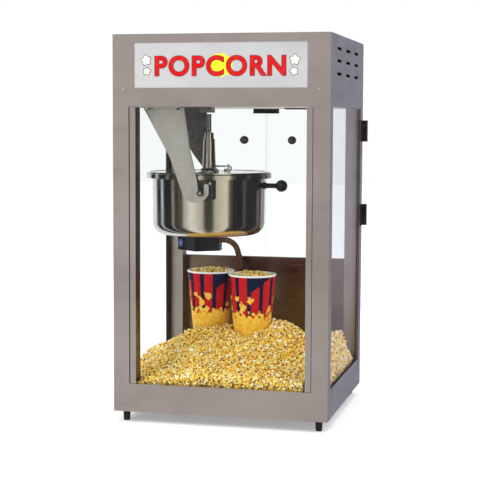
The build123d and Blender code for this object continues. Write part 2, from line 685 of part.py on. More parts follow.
def conduit():
    """Rigid bent conduit from the outlet box into the rear panel."""
    corners = [(-130, 500, 438), (-86, 520, 438), (-69, 543, 360), (-69, DEPTH - SHEET - 0.05, 360)]
    route = [Vector(x, at_depth(depth), at_height(height)) for x, depth, height in corners]
    path = FilletPolyline(*route, radius=[48, 19])
    section = Plane(origin=route[0], z_dir=(route[1] - route[0])) * Circle(CONDUIT_R)
    return sweep(section, path=path) - junction_box()


def door_catch():
    """Magnetic catch under the ceiling's rear edge."""
    return block((-35, 42), (548, 570), (CEILING_H - 14, CEILING_H - 0.02))


# ---- doors ---------------------------------------------------------------------------------
DOOR_FACE = DEPTH + 3.0
DOOR_H = (REAR_PANEL_H + 4, 862.0)
HINGE_X = HALF + 7.0
HINGE_DEPTH = DEPTH + 7.0
HINGE_HEIGHTS = (520.0, 774.0)
HINGE_HALF = 32.0
HINGE_PIN_R = 3.0
HINGE_R = 7.5
DOOR_KNOB_X = 76.0
DOOR_KNOB_H = 744.0


def door_glass():
    """Right-hand glass door, drilled for its knob."""
    glass = block((1.5, HALF - 3), (DOOR_FACE, DOOR_FACE + DOOR_T), DOOR_H)
    return glass - depth_rod(DOOR_KNOB_X, DOOR_KNOB_H, 4.2, (DOOR_FACE - 1, DOOR_FACE + 8))


def hinge_pair():
    """Right-hand fixed leaves with pins, and the clamps that turn on them."""
    fixed, moving = [], []
    glass_back = DOOR_FACE + DOOR_T
    for h in HINGE_HEIGHTS:
        full, inner, outer = (h - HINGE_HALF, h + HINGE_HALF), (h - 15.7, h + 15.7), (h - 16, h + 16)
        leaf_x = (HALF + 0.05, HALF + 3)
        leaf = block(leaf_x, (DEPTH - 30, HINGE_DEPTH), full)
        barrel = block((HALF, HINGE_X), (HINGE_DEPTH - 4, HINGE_DEPTH + 4), full)
        barrel += post_rod(HINGE_X, HINGE_DEPTH, HINGE_R, full)
        middle = block((HALF - 20, HALF + 30), (DEPTH - 40, DEPTH + 30), outer)
        corner = block((HALF - 5, HALF + 0.05), (DEPTH - 5, DEPTH + 30), (h - 40, h + 40))
        bridge = block(leaf_x, (DEPTH - 30, DEPTH - 4), outer)
        pin = post_rod(HINGE_X, HINGE_DEPTH, HINGE_PIN_R, (h - 20, h + 20))
        fixed.append(leaf - middle + (barrel - middle - corner) + bridge + pin)
        clamp = post_rod(HINGE_X, HINGE_DEPTH, HINGE_R, inner)
        clamp += block((HALF - 34, HINGE_X), (glass_back + 0.05, glass_back + 3), inner)
        clamp += block((HALF - 2.9, HALF), (DOOR_FACE - 2, glass_back + 3), inner)
        clamp += block((HALF - 34, HALF), (DOOR_FACE - 2, DOOR_FACE - 0.05), inner)
        moving.append(clamp - post_rod(HINGE_X, HINGE_DEPTH, HINGE_PIN_R + RUN, (h - 20, h + 20)))
    return fixed, moving


def door_knob():
    """Turned knob outside, rosette inside and the screw through the glass, as one piece."""
    x, h = DOOR_KNOB_X, DOOR_KNOB_H
    back = DOOR_FACE + DOOR_T
    knob = depth_rod(x, h, 8.0, (DOOR_FACE - 3, DOOR_FACE - 0.05))
    knob += depth_rod(x, h, 4.0, (DOOR_FACE - 3, back + 12))
    knob += depth_rod(x, h, 7.0, (back + 0.05, back + 14))
    head = depth_rod(x, h, 12.8, (back + 13, DEPTH + KNOB_REACH))
    knob += fillet(head.edges(), 4)
    return knob


# ---- contents ------------------------------------------------------------------------------
CUP_TOP_R = 69.0
CUP_BASE_R = 51.0
CUP_H = 185.0
CUPS = {"cup_left": (-104.0, 305.0, 182.0), "cup_right": (31.0, 262.0, 179.0)}
# X, depth, extra height, spread along X and spread along Y of each swell in the heap
SWELLS = ((20, 265, 106, 195, 145), (110, 285, 66, 85, 90), (-125, 250, 55, 75, 80), (-275, 400, 34, 65, 130),
          (0, 20, 14, 200, 80), (300, 235, 92, 50, 135))
HEAP_EDGE_H = 72.0
HEAP_WALL = 7.0


def heap_height(x, depth):
    """Height of the popcorn's surface above the cabinet's bottom edge."""
    height = HEAP_EDGE_H
    for cx, cd, rise, sx, sd in SWELLS:
        height += rise * exp(-((x - cx) ** 2) / (2 * sx**2) - ((depth - cd) ** 2) / (2 * sd**2))
    return height


def heap_body(inset):
    """Popcorn up to its surface, pulled in from the walls and down by an inset."""
    steps = 14
    rows = []
    for i in range(steps + 1):
        x = -HALF - 10 + i * (WIDTH + 20) / steps
        depths = [-10 + j * (DEPTH + 20) / steps for j in range(steps + 1)]
        rows.append([Vector(x, at_depth(d), at_height(heap_height(x, d) - inset)) for d in depths])
    surface = Face.make_surface_from_array_of_points(rows)
    mass = Solid.extrude(surface, Vector(0, 0, -420))
    side = HALF - 9.5 - inset
    floor = DECK_H + 1.6 if inset == 0 else DECK_H - 20
    body = mass & block((-side, side), (15 + inset, DEPTH - 22 - inset), (floor, 400))
    for notch in corner_notches((0, 420), 1.5 + inset):
        body -= notch
    liner = CHANNEL_IN - 1.5 - inset
    for x in ((-HALF, -liner), (liner, HALF)):
        body -= block(x, (0, POST + 1.5 + inset), (0, 420))
    return body


def cone(x, depth, low, r_low, r_high, height):
    """Upright cone frustum."""
    middle = (x, at_depth(depth), at_height(low + height / 2))
    return Pos(*middle) * Cone(r_low, r_high, height)


def popcorn_heap():
    """Crust of popcorn over the deck, with a well that holds each cup."""
    outer = heap_body(0.0)
    crust = outer - heap_body(HEAP_WALL)
    for x, depth, low in CUPS.values():
        well = cone(x, depth, low - 6, CUP_BASE_R + 6, CUP_TOP_R + 6, CUP_H + 6)
        crust += well & outer
    for x, depth, low in CUPS.values():
        crust -= cone(x, depth, low - 0.8, CUP_BASE_R + 1.0, CUP_TOP_R + 4.5, CUP_H + 40)
    return crust


def paper_cup(x, depth, low):
    """Tapered paper cup with a raised floor and a rolled rim."""
    wall = 1.0
    slope = (CUP_TOP_R - CUP_BASE_R) / CUP_H
    floor = 6.0
    outline = [(CUP_BASE_R - 2, low), (CUP_BASE_R, low), (CUP_TOP_R - 1.2, low + CUP_H - 2)]
    outline += [(CUP_TOP_R - 1.2 - wall, low + CUP_H - 2)]
    floor_top = low + floor + 1
    outline += [(CUP_BASE_R + slope * (floor + 1) - wall, floor_top), (0, floor_top), (0, low + floor)]
    outline += [(CUP_BASE_R - 2, low + floor)]
    cup = turned(outline, x, depth)
    roll = Pos(x, at_depth(depth), at_height(low + CUP_H - 2.2)) * Torus(CUP_TOP_R - 1.9, 2.2)
    return cup + roll


def main():
    """Build every piece and write its file."""
    os.makedirs("parts", exist_ok=True)
    for left in (True, False):
        for front in (True, False):
            name = f"post_{'front' if front else 'rear'}_{'left' if left else 'right'}"
            save(name, corner_post(left, front))
    save("ceiling_pan", ceiling_pan())
    save("base_pan", base_pan())
    save("kick_panel", kick_panel())
    save("rear_panel", rear_panel())
    save("deck_plate", deck_plate())
    save("crumb_drawer", crumb_drawer())
    feet, screws = feet_and_screws()
    save("feet", *feet)
    save("foot_screws", *screws)

    front, left_pane, channel, liner, side_seal, jamb = glazing()
    save("glass_front", front)
    save("glass_left", left_pane)
    save("glass_right", mirrored(left_pane))
    save("glass_channels", channel, mirrored(channel))
    save("glass_seals", side_seal, mirrored(side_seal))
    save("jamb_strips", jamb, mirrored(jamb), liner, mirrored(liner))

    save("sign_box", sign_box())
    save("box_screws", *box_screws())
    sign_x, sign_h = (-WINDOW_X - 8, WINDOW_X + 8), (WINDOW_H[0] - 7, WINDOW_H[1] + 7)
    sign = block(sign_x, (BOX_WALL + 0.2, BOX_WALL + 3.2), sign_h)
    save("sign_panel", sign)
    save("sign_lamp", *sign_lamp())
    save("control_panel", control_panel())
    save("switch_bezels", *switch_bezels())
    for name, x in SWITCHES.items():
        save(name, rocker(x))
    save("power_gland", power_gland())

    motor, bearing, socket = drive_pieces()
    save("gearmotor", motor)
    save("bearing_block", bearing)
    save("drive_socket", socket)
    save("hanger_arm_near", hanger_arm(near=True))
    save("hanger_arm_far", hanger_arm(near=False))
    save("hanger_bolts", *hanger_bolts())

    pan_top = KETTLE_RIM - 0.05
    save("kettle_shell", dished(KETTLE_R, KETTLE_BOTTOM, pan_top, SHELL_T, SHELL_CORNER, KETTLE_R - 1.5))
    save("kettle_pan", dished(PAN_R, PAN_FLOOR, pan_top, PAN_T, 15.0, PAN_R))
    save("heating_element", heating_element())
    save("kettle_rim", kettle_rim())
    save("lid_bridge", lid_bridge())
    save("stirrer_tube", stirrer_tube())
    save("trunnions", *trunnions())
    rod, ball = dump_handle()
    save("dump_rod", rod)
    save("dump_knob", ball)
    save("stirrer", stirrer())
    save("lid_left", kettle_lid(-1))
    right_lid = kettle_lid(1)
    for fitting in [*bail_lugs(), lid_latch()]:
        right_lid += fitting
    save("lid_right", right_lid)
    save("lid_bail", lid_bail())

    save("junction_box", junction_box())
    save("conduit", conduit())
    save("door_catch", door_catch())
    fixed, moving = hinge_pair()
    save("hinge_leaves", *fixed, *[mirrored(leaf) for leaf in fixed])
    for side in ("right", "left"):
        place = (lambda solid: solid) if side == "right" else mirrored
        save(f"door_glass_{side}", place(door_glass()))
        save(f"hinge_clamps_{side}", *[place(clamp) for clamp in moving])
        save(f"door_knob_{side}", place(door_knob()))

    for name, (x, depth, low) in CUPS.items():
        save(name, paper_cup(x, depth, low))
    save("popcorn_heap", popcorn_heap())


main()
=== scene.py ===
"""Looks of the countertop popcorn machine: finishes, sign artwork, popcorn and small fittings."""
import logging
import math
import random
from dataclasses import dataclass, field
from enum import Enum
from functools import lru_cache
from typing import Sequence

import bmesh
import bpy
import numpy as np
from mathutils import Euler, Matrix, Vector
from mathutils.bvhtree import BVHTree


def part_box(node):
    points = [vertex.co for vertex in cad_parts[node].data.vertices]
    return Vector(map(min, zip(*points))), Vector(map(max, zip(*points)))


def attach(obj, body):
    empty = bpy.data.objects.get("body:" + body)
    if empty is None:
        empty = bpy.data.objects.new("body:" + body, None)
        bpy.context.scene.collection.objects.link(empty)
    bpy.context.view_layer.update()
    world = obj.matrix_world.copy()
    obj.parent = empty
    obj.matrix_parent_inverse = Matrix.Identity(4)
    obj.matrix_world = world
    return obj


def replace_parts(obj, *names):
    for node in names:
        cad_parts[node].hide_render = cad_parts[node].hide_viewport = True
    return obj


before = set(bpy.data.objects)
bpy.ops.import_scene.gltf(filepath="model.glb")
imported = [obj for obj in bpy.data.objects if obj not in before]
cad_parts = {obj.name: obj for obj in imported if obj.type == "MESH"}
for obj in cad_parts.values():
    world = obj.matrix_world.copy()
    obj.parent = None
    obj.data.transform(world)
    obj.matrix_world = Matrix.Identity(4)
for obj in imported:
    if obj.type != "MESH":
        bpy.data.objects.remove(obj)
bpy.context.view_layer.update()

LOG = logging.getLogger("popcorn_machine")
MM = 0.001
Colour = tuple[float, float, float]
Socket = bpy.types.NodeSocket


class Body(Enum):
    """Moving groups of the machine that added pieces ride on."""

    CABINET = "cabinet"
    KETTLE = "kettle"
    LEFT_CUP = "left_cup"
    RIGHT_CUP = "right_cup"
    DOOR_LEFT = "door_left"
    DOOR_RIGHT = "door_right"


class Grain(Enum):
    """Direction of the brushing on a steel sheet, as the stretch of its noise along X, Y and Z."""

    UPRIGHT = (900.0, 900.0, 14.0)
    ACROSS = (14.0, 900.0, 900.0)
    DEEP = (900.0, 14.0, 900.0)


@lru_cache(maxsize=None)
def corners(node: str) -> tuple[Vector, Vector]:
    """Return the lowest and the highest corner of a node of the frame."""
    low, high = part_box(node)
    return Vector(low), Vector(high)


def middle(node: str) -> tuple[float, float]:
    """Return X and Y of a node's middle."""
    low, high = corners(node)
    return (low.x + high.x) / 2, (low.y + high.y) / 2


# ---- shader plumbing ----
@dataclass
class Wiring:
    """A node tree, with short calls to add and join nodes."""

    tree: bpy.types.NodeTree

    def add(self, kind: str, settings: dict | None = None, **sockets: object) -> bpy.types.Node:
        """Add a node.

        Args:
            kind: Node type without its ShaderNode prefix.
            settings: Plain properties of the node.
            sockets: Input name with spaces as underscores, to a value or an output socket.

        Returns:
            The new node.
        """
        node = self.tree.nodes.new("ShaderNode" + kind)
        for key, value in (settings or {}).items():
            setattr(node, key, value)
        for key, value in sockets.items():
            self.put(node, key.replace("_", " "), value)
        return node

    def put(self, node: bpy.types.Node, socket: str | int, value: object) -> None:
        """Set an input to a value, or link an output socket to it.

        Args:
            node: Node whose input is meant.
            socket: Input name or index.
            value: A constant or an output socket.
        """
        if isinstance(value, Socket):
            self.tree.links.new(value, node.inputs[socket])
        else:
            node.inputs[socket].default_value = value

    def place(self) -> Socket:
        """Return the point being shaded, in metres in the machine's frame."""
        return self.add("TexCoord").outputs["Object"]

    def noise(self, scale: float, detail: float = 3.0, stretch: Sequence[float] = (1, 1, 1),
              rough: float = 0.5) -> Socket:
        """Add a noise texture on the machine's own coordinates.

        Args:
            scale: Cells per metre.
            detail: Octaves.
            stretch: Extra scale along X, Y and Z.
            rough: Roughness of the octaves.

        Returns:
            The noise value.
        """
        mapping = self.add("Mapping", Vector=self.place(), Scale=tuple(stretch))
        node = self.add("TexNoise", Vector=mapping.outputs["Vector"], Scale=scale, Detail=detail,
                        Roughness=rough)
        return node.outputs["Fac"]

    def span(self, value: Socket, low: float, high: float, start: float = 0.3,
             end: float = 0.7) -> Socket:
        """Map a value from start..end to low..high."""
        node = self.add("MapRange", Value=value, From_Min=start, From_Max=end, To_Min=low, To_Max=high)
        return node.outputs["Result"]

    def mix(self, share: object, first: object, second: object) -> Socket:
        """Mix two colours.

        Args:
            share: How much of the second colour.
            first: Colour or socket.
            second: Colour or socket.

        Returns:
            The mixed colour.
        """
        node = self.add("Mix", {"data_type": "RGBA"})
        for index, value in ((0, share), (6, first), (7, second)):
            is_colour = isinstance(value, tuple) and len(value) == 3
            self.put(node, index, (*value, 1.0) if is_colour else value)
        return node.outputs[2]

    def math(self, operation: str, first: object, second: object = 0.0) -> Socket:
        """Add a Math node.

        Args:
            operation: Blender's name of the operation.
            first: First value or socket.
            second: Second value or socket.

        Returns:
            The result.
        """
        node = self.add("Math", {"operation": operation})
        self.put(node, 0, first)
        self.put(node, 1, second)
        return node.outputs[0]


class Bench(Wiring):
    """One material's node tree round its Principled shader."""

    def __init__(self, name: str) -> None:
        """Start a material.

        Args:
            name: The material's name.
        """
        self.material = bpy.data.materials.new(name)
        self.material.use_nodes = True
        super().__init__(self.material.node_tree)
        self.shader = self.tree.nodes["Principled BSDF"]

    def bump(self, height: Socket, depth: float, strength: float) -> None:
        """Raise the surface by a height from 0 to 1, where 1 is the depth in metres."""
        node = self.add("Bump", Height=height, Distance=depth, Strength=strength)
        self.put(self.shader, "Normal", node.outputs["Normal"])

    def skin(self, **sockets: object) -> None:
        """Set inputs of the Principled shader, named with underscores for spaces."""
        for key, value in sockets.items():
            is_colour = isinstance(value, tuple) and len(value) == 3
            self.put(self.shader, key.replace("_", " "), (*value, 1.0) if is_colour else value)


# ---- finishes ----
@dataclass(frozen=True)
class Finish:
    """A named finish that makes its own material."""

    name: str

    def make(self) -> bpy.types.Material:
        """Return the finish as a material."""
        bench = Bench(self.name)
        self.paint(bench)
        return bench.material

    def paint(self, bench: Bench) -> None:
        """Wire the finish's nodes.

        Args:
            bench: The material's bench.
        """
        raise NotImplementedError


@dataclass(frozen=True)
class BrushedSteel(Finish):
    """Satin sheet steel with a straight grain, faint smears and slow changes of tone."""

    light: Colour
    dark: Colour
    grain: Grain
    roughness: float = 0.34

    def paint(self, bench: Bench) -> None:
        """Wire the finish's nodes.

        Args:
            bench: The material's bench.
        """
        lines = bench.noise(1.0, 4.0, self.grain.value, 0.65)
        broad = bench.noise(3.2)
        tone = bench.math("ADD", bench.math("MULTIPLY", lines, 0.45), bench.math("MULTIPLY", broad, 0.55))
        colour = bench.mix(bench.span(tone, 0.0, 1.0, 0.36, 0.64), self.dark, self.light)
        smear = bench.noise(11.0, 5.0, (1, 1, 2.5))
        rough = bench.math("ADD", bench.span(lines, self.roughness - 0.06, self.roughness + 0.07),
                           bench.span(smear, 0.0, 0.07, 0.5, 0.75))
        bench.skin(Base_Color=colour, Metallic=1.0, Roughness=rough)
        bench.bump(lines, 0.00004, 0.5)


@dataclass(frozen=True)
class PolishedSteel(Finish):
    """Bright polished steel with fine turning lines round an upright axis and light wear."""

    colour: Colour = (0.84, 0.81, 0.74)
    roughness: float = 0.07

    def paint(self, bench: Bench) -> None:
        """Wire the finish's nodes.

        Args:
            bench: The material's bench.
        """
        rings = bench.noise(1.0, 2.0, (6, 6, 1500))
        haze = bench.noise(14.0, 5.0)
        worn = tuple(0.86 * part for part in self.colour)
        bench.skin(Base_Color=bench.mix(bench.span(haze, 0.0, 1.0), self.colour, worn), Metallic=1.0,
                   Roughness=bench.math("ADD", bench.span(haze, self.roughness, self.roughness + 0.08),
                                        bench.span(rings, 0.0, 0.04)))
        bench.bump(rings, 0.00002, 0.35)


@dataclass(frozen=True)
class Galvanised(Finish):
    """Zinc-coated sheet with its patchwork of crystals."""

    light: Colour = (0.68, 0.67, 0.645)
    dark: Colour = (0.52, 0.515, 0.495)

    def paint(self, bench: Bench) -> None:
        """Wire the finish's nodes.

        Args:
            bench: The material's bench.
        """
        cells = bench.add("TexVoronoi", Vector=bench.place(), Scale=95.0, Randomness=1.0)
        patch = bench.add("SeparateColor", Color=cells.outputs["Color"]).outputs["Red"]
        dust = bench.noise(30.0, 6.0)
        tone = bench.math("ADD", bench.math("MULTIPLY", patch, 0.5), bench.math("MULTIPLY", dust, 0.5))
        bench.skin(Base_Color=bench.mix(bench.span(tone, 0.0, 1.0, 0.2, 0.8), self.dark, self.light),
                   Metallic=0.85, Roughness=bench.span(patch, 0.34, 0.55, 0.0, 1.0))
        bench.bump(dust, 0.00015, 0.4)


@dataclass(frozen=True)
class Moulded(Finish):
    """Coloured plastic, rubber or paint with a fine grain and dusty high spots."""

    colour: Colour
    roughness: float = 0.45
    grain_mm: float = 0.6
    relief_mm: float = 0.05
    metallic: float = 0.0
    coat: float = 0.0
    specular: float = 0.4

    def paint(self, bench: Bench) -> None:
        """Wire the finish's nodes.

        Args:
            bench: The material's bench.
        """
        grain = bench.noise(1.0 / (self.grain_mm * MM))
        dust = bench.noise(22.0, 5.0)
        lifted = tuple(min(1.0, part * 1.25 + 0.012) for part in self.colour)
        bench.skin(Base_Color=bench.mix(bench.span(dust, 0.0, 1.0), self.colour, lifted),
                   Metallic=self.metallic, Coat_Weight=self.coat, Coat_Roughness=0.08,
                   Specular_IOR_Level=self.specular,
                   Roughness=bench.span(grain, self.roughness - 0.07, self.roughness + 0.1))
        bench.bump(grain, self.relief_mm * MM, 0.5)


@dataclass(frozen=True)
class ClearGlass(Finish):
    """Toughened pane: clear, faintly mirrored at grazing angles, with grey-green cut edges."""

    tint: Colour = (0.985, 0.995, 0.99)
    haze: Colour = (0.75, 0.79, 0.82)
    haze_share: float = 0.002
    glare: float = 0.30
    edge_axis: str = "X"
    edge_tint: Colour = (0.62, 0.68, 0.67)

    def paint(self, bench: Bench) -> None:
        """Wire the finish's nodes.

        Args:
            bench: The material's bench.
        """
        bench.tree.nodes.remove(bench.shader)
        wiped = bench.noise(6.0, 6.0, (1, 1, 0.35))
        normal = bench.add("SeparateXYZ", Vector=bench.add("TexCoord").outputs["Normal"])
        side = bench.math("ABSOLUTE", normal.outputs[self.edge_axis])
        cut_edge = bench.math("GREATER_THAN", side, 0.5)
        clear = bench.add("BsdfTransparent", Color=bench.mix(cut_edge, self.tint, self.edge_tint))
        mirror = bench.add("BsdfGlossy", Color=(1, 1, 1, 1), Roughness=bench.span(wiped, 0.01, 0.03))
        film = bench.add("BsdfDiffuse", Color=(*self.haze, 1.0))
        grazing = bench.add("LayerWeight", Blend=0.5).outputs["Facing"]
        glare = bench.math("MULTIPLY", bench.math("POWER", grazing, 5.0), self.glare)
        share = bench.math("ADD", 0.003, glare)
        haze = bench.span(wiped, self.haze_share * 0.5, self.haze_share * 1.5)
        surface = clear.outputs[0]
        for amount, layer in ((share, mirror), (haze, film)):
            mixed = bench.add("MixShader")
            for index, value in enumerate((amount, surface, layer.outputs[0])):
                bench.put(mixed, index, value)
            surface = mixed.outputs[0]
        bench.put(bench.tree.nodes["Material Output"], "Surface", surface)


@dataclass(frozen=True)
class PearlAcrylic(Finish):
    """Backlit sign sheet: pale silver with a soft vertical sheen and tiny flakes."""

    def paint(self, bench: Bench) -> None:
        """Wire the finish's nodes.

        Args:
            bench: The material's bench.
        """
        flake = bench.noise(900.0, 2.0)
        cloud = bench.noise(5.0, 3.0, (1, 1, 2))
        tone = bench.mix(bench.span(cloud, 0.0, 1.0), (0.40, 0.40, 0.415), (0.50, 0.50, 0.515))
        bench.skin(Base_Color=bench.mix(bench.span(flake, 0.0, 0.25), tone, (0.66, 0.67, 0.68)),
                   Metallic=0.15, Roughness=bench.span(flake, 0.22, 0.36), Coat_Weight=0.4,
                   Coat_Roughness=0.06)
        bench.bump(flake, 0.00002, 0.3)


@dataclass(frozen=True)
class Ink(Finish):
    """Screen-printed or vinyl colour with slight unevenness."""

    colour: Colour

    def paint(self, bench: Bench) -> None:
        """Wire the finish's nodes.

        Args:
            bench: The material's bench.
        """
        cloud = bench.noise(60.0, 4.0)
        thin = tuple(min(1.0, part * 1.1 + 0.01) for part in self.colour)
        bench.skin(Base_Color=bench.mix(bench.span(cloud, 0.0, 1.0), self.colour, thin),
                   Roughness=bench.span(cloud, 0.28, 0.4), Specular_IOR_Level=0.15)
        bench.bump(cloud, 0.00003, 0.3)


@dataclass(frozen=True)
class PoppedCorn(Finish):
    """Popped corn: cream lobes, butter-yellow folds and brown hull specks."""

    def paint(self, bench: Bench) -> None:
        """Wire the finish's nodes.

        Args:
            bench: The material's bench.
        """
        tint, lobe, hull = (bench.add("Attribute", {"attribute_name": key}).outputs["Fac"]
                            for key in ("tint", "lobe", "hull"))
        mottle = bench.noise(230.0, 4.0)
        butter = bench.mix(tint, (0.86, 0.47, 0.02), (0.90, 0.68, 0.18))
        cream = bench.mix(tint, (0.98, 0.84, 0.16), (0.98, 0.95, 0.80))
        raised = bench.math("ADD", lobe, bench.span(mottle, -0.3, 0.3))
        flesh = bench.mix(bench.span(raised, 0.0, 1.0, 0.25, 0.65), butter, cream)
        spot = bench.math("MULTIPLY", bench.span(hull, 0.0, 1.0, 0.26, 0.4),
                          bench.span(mottle, 0.5, 1.0, 0.38, 0.5))
        colour = bench.mix(spot, flesh, (0.27, 0.06, 0.005))
        bench.skin(Base_Color=colour, Roughness=0.55, Subsurface_Weight=0.05, Subsurface_Scale=0.001)
        crumb = bench.noise(700.0)
        bench.bump(crumb, 0.0006, 0.6)


@dataclass(frozen=True)
class CupPrint(Finish):
    """Printed cup: navy ground, red slanted-top stripes, a yellow cloud band and loose puffs."""

    axis: tuple[float, float]
    low: float
    high: float
    start: float

    def paint(self, bench: Bench) -> None:
        """Wire the finish's nodes.

        Args:
            bench: The material's bench.
        """
        point = bench.add("SeparateXYZ", Vector=bench.place())
        x = bench.math("SUBTRACT", point.outputs["X"], self.axis[0])
        y = bench.math("SUBTRACT", point.outputs["Y"], self.axis[1])
        turn = bench.math("DIVIDE", bench.math("ARCTAN2", y, x), 2 * math.pi)
        rise = bench.span(point.outputs["Z"], 0.0, 1.0, self.low, self.high)
        along = bench.math("MULTIPLY", bench.math("ADD", turn, self.start), 11.0)
        stripe_place = bench.math("FRACT", along)
        stripe = bench.math("LESS_THAN", stripe_place, 0.66)
        drawn = bench.add("TexWhiteNoise", {"noise_dimensions": "1D"}, W=bench.math("FLOOR", along))
        reach = bench.math("ADD", 0.74, bench.math("MULTIPLY", drawn.outputs["Value"], 0.26))
        slant = bench.math("ADD", reach, bench.math("MULTIPLY", stripe_place, 0.14))
        red_share = bench.math("MULTIPLY", stripe, bench.math("LESS_THAN", rise, slant))
        ground = bench.mix(red_share, (0.002, 0.006, 0.035), (0.50, 0.003, 0.006))
        ring = bench.add("CombineXYZ", X=bench.math("MULTIPLY", turn, 15.0),
                         Y=bench.math("MULTIPLY", rise, 6.5))
        cells = bench.add("TexVoronoi", {"feature": "SMOOTH_F1"}, Vector=ring.outputs["Vector"],
                          Scale=1.0, Smoothness=0.25)
        grain = bench.noise(95.0, 2.0)
        puff = bench.math("SUBTRACT", bench.span(grain, 0.50, 0.66), cells.outputs["Distance"])
        scallop = bench.math("FRACT", bench.math("MULTIPLY", turn, 19.0))
        swing = bench.math("SUBTRACT", bench.math("MULTIPLY", scallop, 2.0), 1.0)
        bow = bench.math("SQRT", bench.math("SUBTRACT", 1.0, bench.math("MULTIPLY", swing, swing)))
        crest = bench.math("ADD", bench.span(grain, 0.28, 0.42), bench.math("MULTIPLY", bow, 0.055))
        cloud = bench.math("LESS_THAN", rise, crest)
        level = bench.math("ABSOLUTE", bench.math("SUBTRACT", rise, 0.54))
        loose = bench.math("MULTIPLY", bench.math("GREATER_THAN", puff, 0.10),
                           bench.math("LESS_THAN", level, 0.13))
        yellow_share = bench.math("MAXIMUM", cloud, loose)
        shade = bench.mix(bench.span(grain, 0.0, 1.0, 0.35, 0.65), (0.78, 0.36, 0.012), (0.84, 0.56, 0.07))
        printed = bench.mix(yellow_share, ground, shade)
        normal = bench.add("SeparateXYZ", Vector=bench.add("TexCoord").outputs["Normal"])
        facing = bench.math("ADD", bench.math("MULTIPLY", normal.outputs["X"], x),
                            bench.math("MULTIPLY", normal.outputs["Y"], y))
        inside = bench.math("LESS_THAN", facing, 0.0)
        rim = bench.math("GREATER_THAN", rise, 0.972)
        white_share = bench.math("MAXIMUM", inside, rim)
        fibre = bench.noise(500.0, 4.0)
        paper = bench.mix(bench.span(fibre, 0.0, 1.0), (0.84, 0.83, 0.80), (0.93, 0.92, 0.90))
        bench.skin(Base_Color=bench.mix(white_share, printed, paper), Roughness=bench.span(fibre, 0.3, 0.42),
                   Specular_IOR_Level=0.12)
        bench.bump(fibre, 0.00006, 0.3)


def dress(finish: Finish, *names: str) -> None:
    """Give frame nodes one finish.

    Args:
        finish: The finish.
        names: Names of the nodes.
    """
    material = finish.make()
    for name in names:
        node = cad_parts[name]
        node.data.materials.clear()
        node.data.materials.append(material)
        LOG.info("dressed %s with %s", name, material.name)


def add_piece(name: str, mesh: bpy.types.Mesh, material: bpy.types.Material, body: Body,
              smooth: bool = True) -> bpy.types.Object:
    """Put a finished mesh into the scene and on its body.

    Args:
        name: Name of the piece.
        mesh: Its mesh, in metres in the machine's frame.
        material: Its finish.
        body: The moving group it belongs to.
        smooth: Whether its faces are shaded smooth.

    Returns:
        The new object.
    """
    piece = bpy.data.objects.new(name, mesh)
    bpy.context.scene.collection.objects.link(piece)
    mesh.materials.append(material)
    mesh.polygons.foreach_set("use_smooth", [smooth] * len(mesh.polygons))
    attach(piece, body.value)
    LOG.info("piece %s: %d faces on %s", name, len(mesh.polygons), body.value)
    return piece


def mesh_from(bm: bmesh.types.BMesh, name: str) -> bpy.types.Mesh:
    """Turn a bmesh into a mesh.

    Args:
        bm: The bmesh, which is freed.
        name: Name of the mesh.

    Returns:
        The new mesh.
    """
    bmesh.ops.recalc_face_normals(bm, faces=bm.faces)
    mesh = bpy.data.meshes.new(name)
    bm.to_mesh(mesh)
    bm.free()
    return mesh


# ---- popcorn ----
@dataclass
class Flake:
    """One popped kernel's shape: a ball of rounded lobes, with its raised and hull-brown places."""

    points: np.ndarray
    lobes: np.ndarray
    hulls: np.ndarray
    faces: np.ndarray

    @classmethod
    def grow(cls, draw: random.Random) -> "Flake":
        """Grow one flake.

        Args:
            draw: Source of the chances.

        Returns:
            A flake of about unit radius.
        """
        bm = bmesh.new()
        bmesh.ops.create_icosphere(bm, subdivisions=2, radius=1.0)
        points = np.array([v.co for v in bm.verts])
        faces = np.array([[v.index for v in f.verts] for f in bm.faces])
        bm.free()
        height = np.full(len(points), 0.42)
        for _ in range(draw.randint(6, 9)):
            lobe = draw.uniform(0.35, 0.7) * np.exp(draw.uniform(6.0, 11.0) * (points @ way_from(draw) - 1.0))
            height = np.maximum(height, 0.42 + lobe) + 0.06 * lobe
        squeeze = np.array([draw.uniform(0.8, 1.1), draw.uniform(0.8, 1.1), draw.uniform(0.65, 0.95)])
        shape = points * height[:, None] * squeeze
        lobes = (height - height.min()) / (height.max() - height.min() + 1e-6)
        hulls = np.zeros(len(points))
        for _ in range(2):
            hulls = np.maximum(hulls, np.exp(7.0 * (points @ way_from(draw) - 1.0)))
        return cls(shape, lobes, hulls, faces)


def way_from(draw: random.Random) -> np.ndarray:
    """Draw a direction, as a unit vector."""
    way = np.array([draw.gauss(0, 1), draw.gauss(0, 1), draw.gauss(0, 1)])
    return way / np.linalg.norm(way)


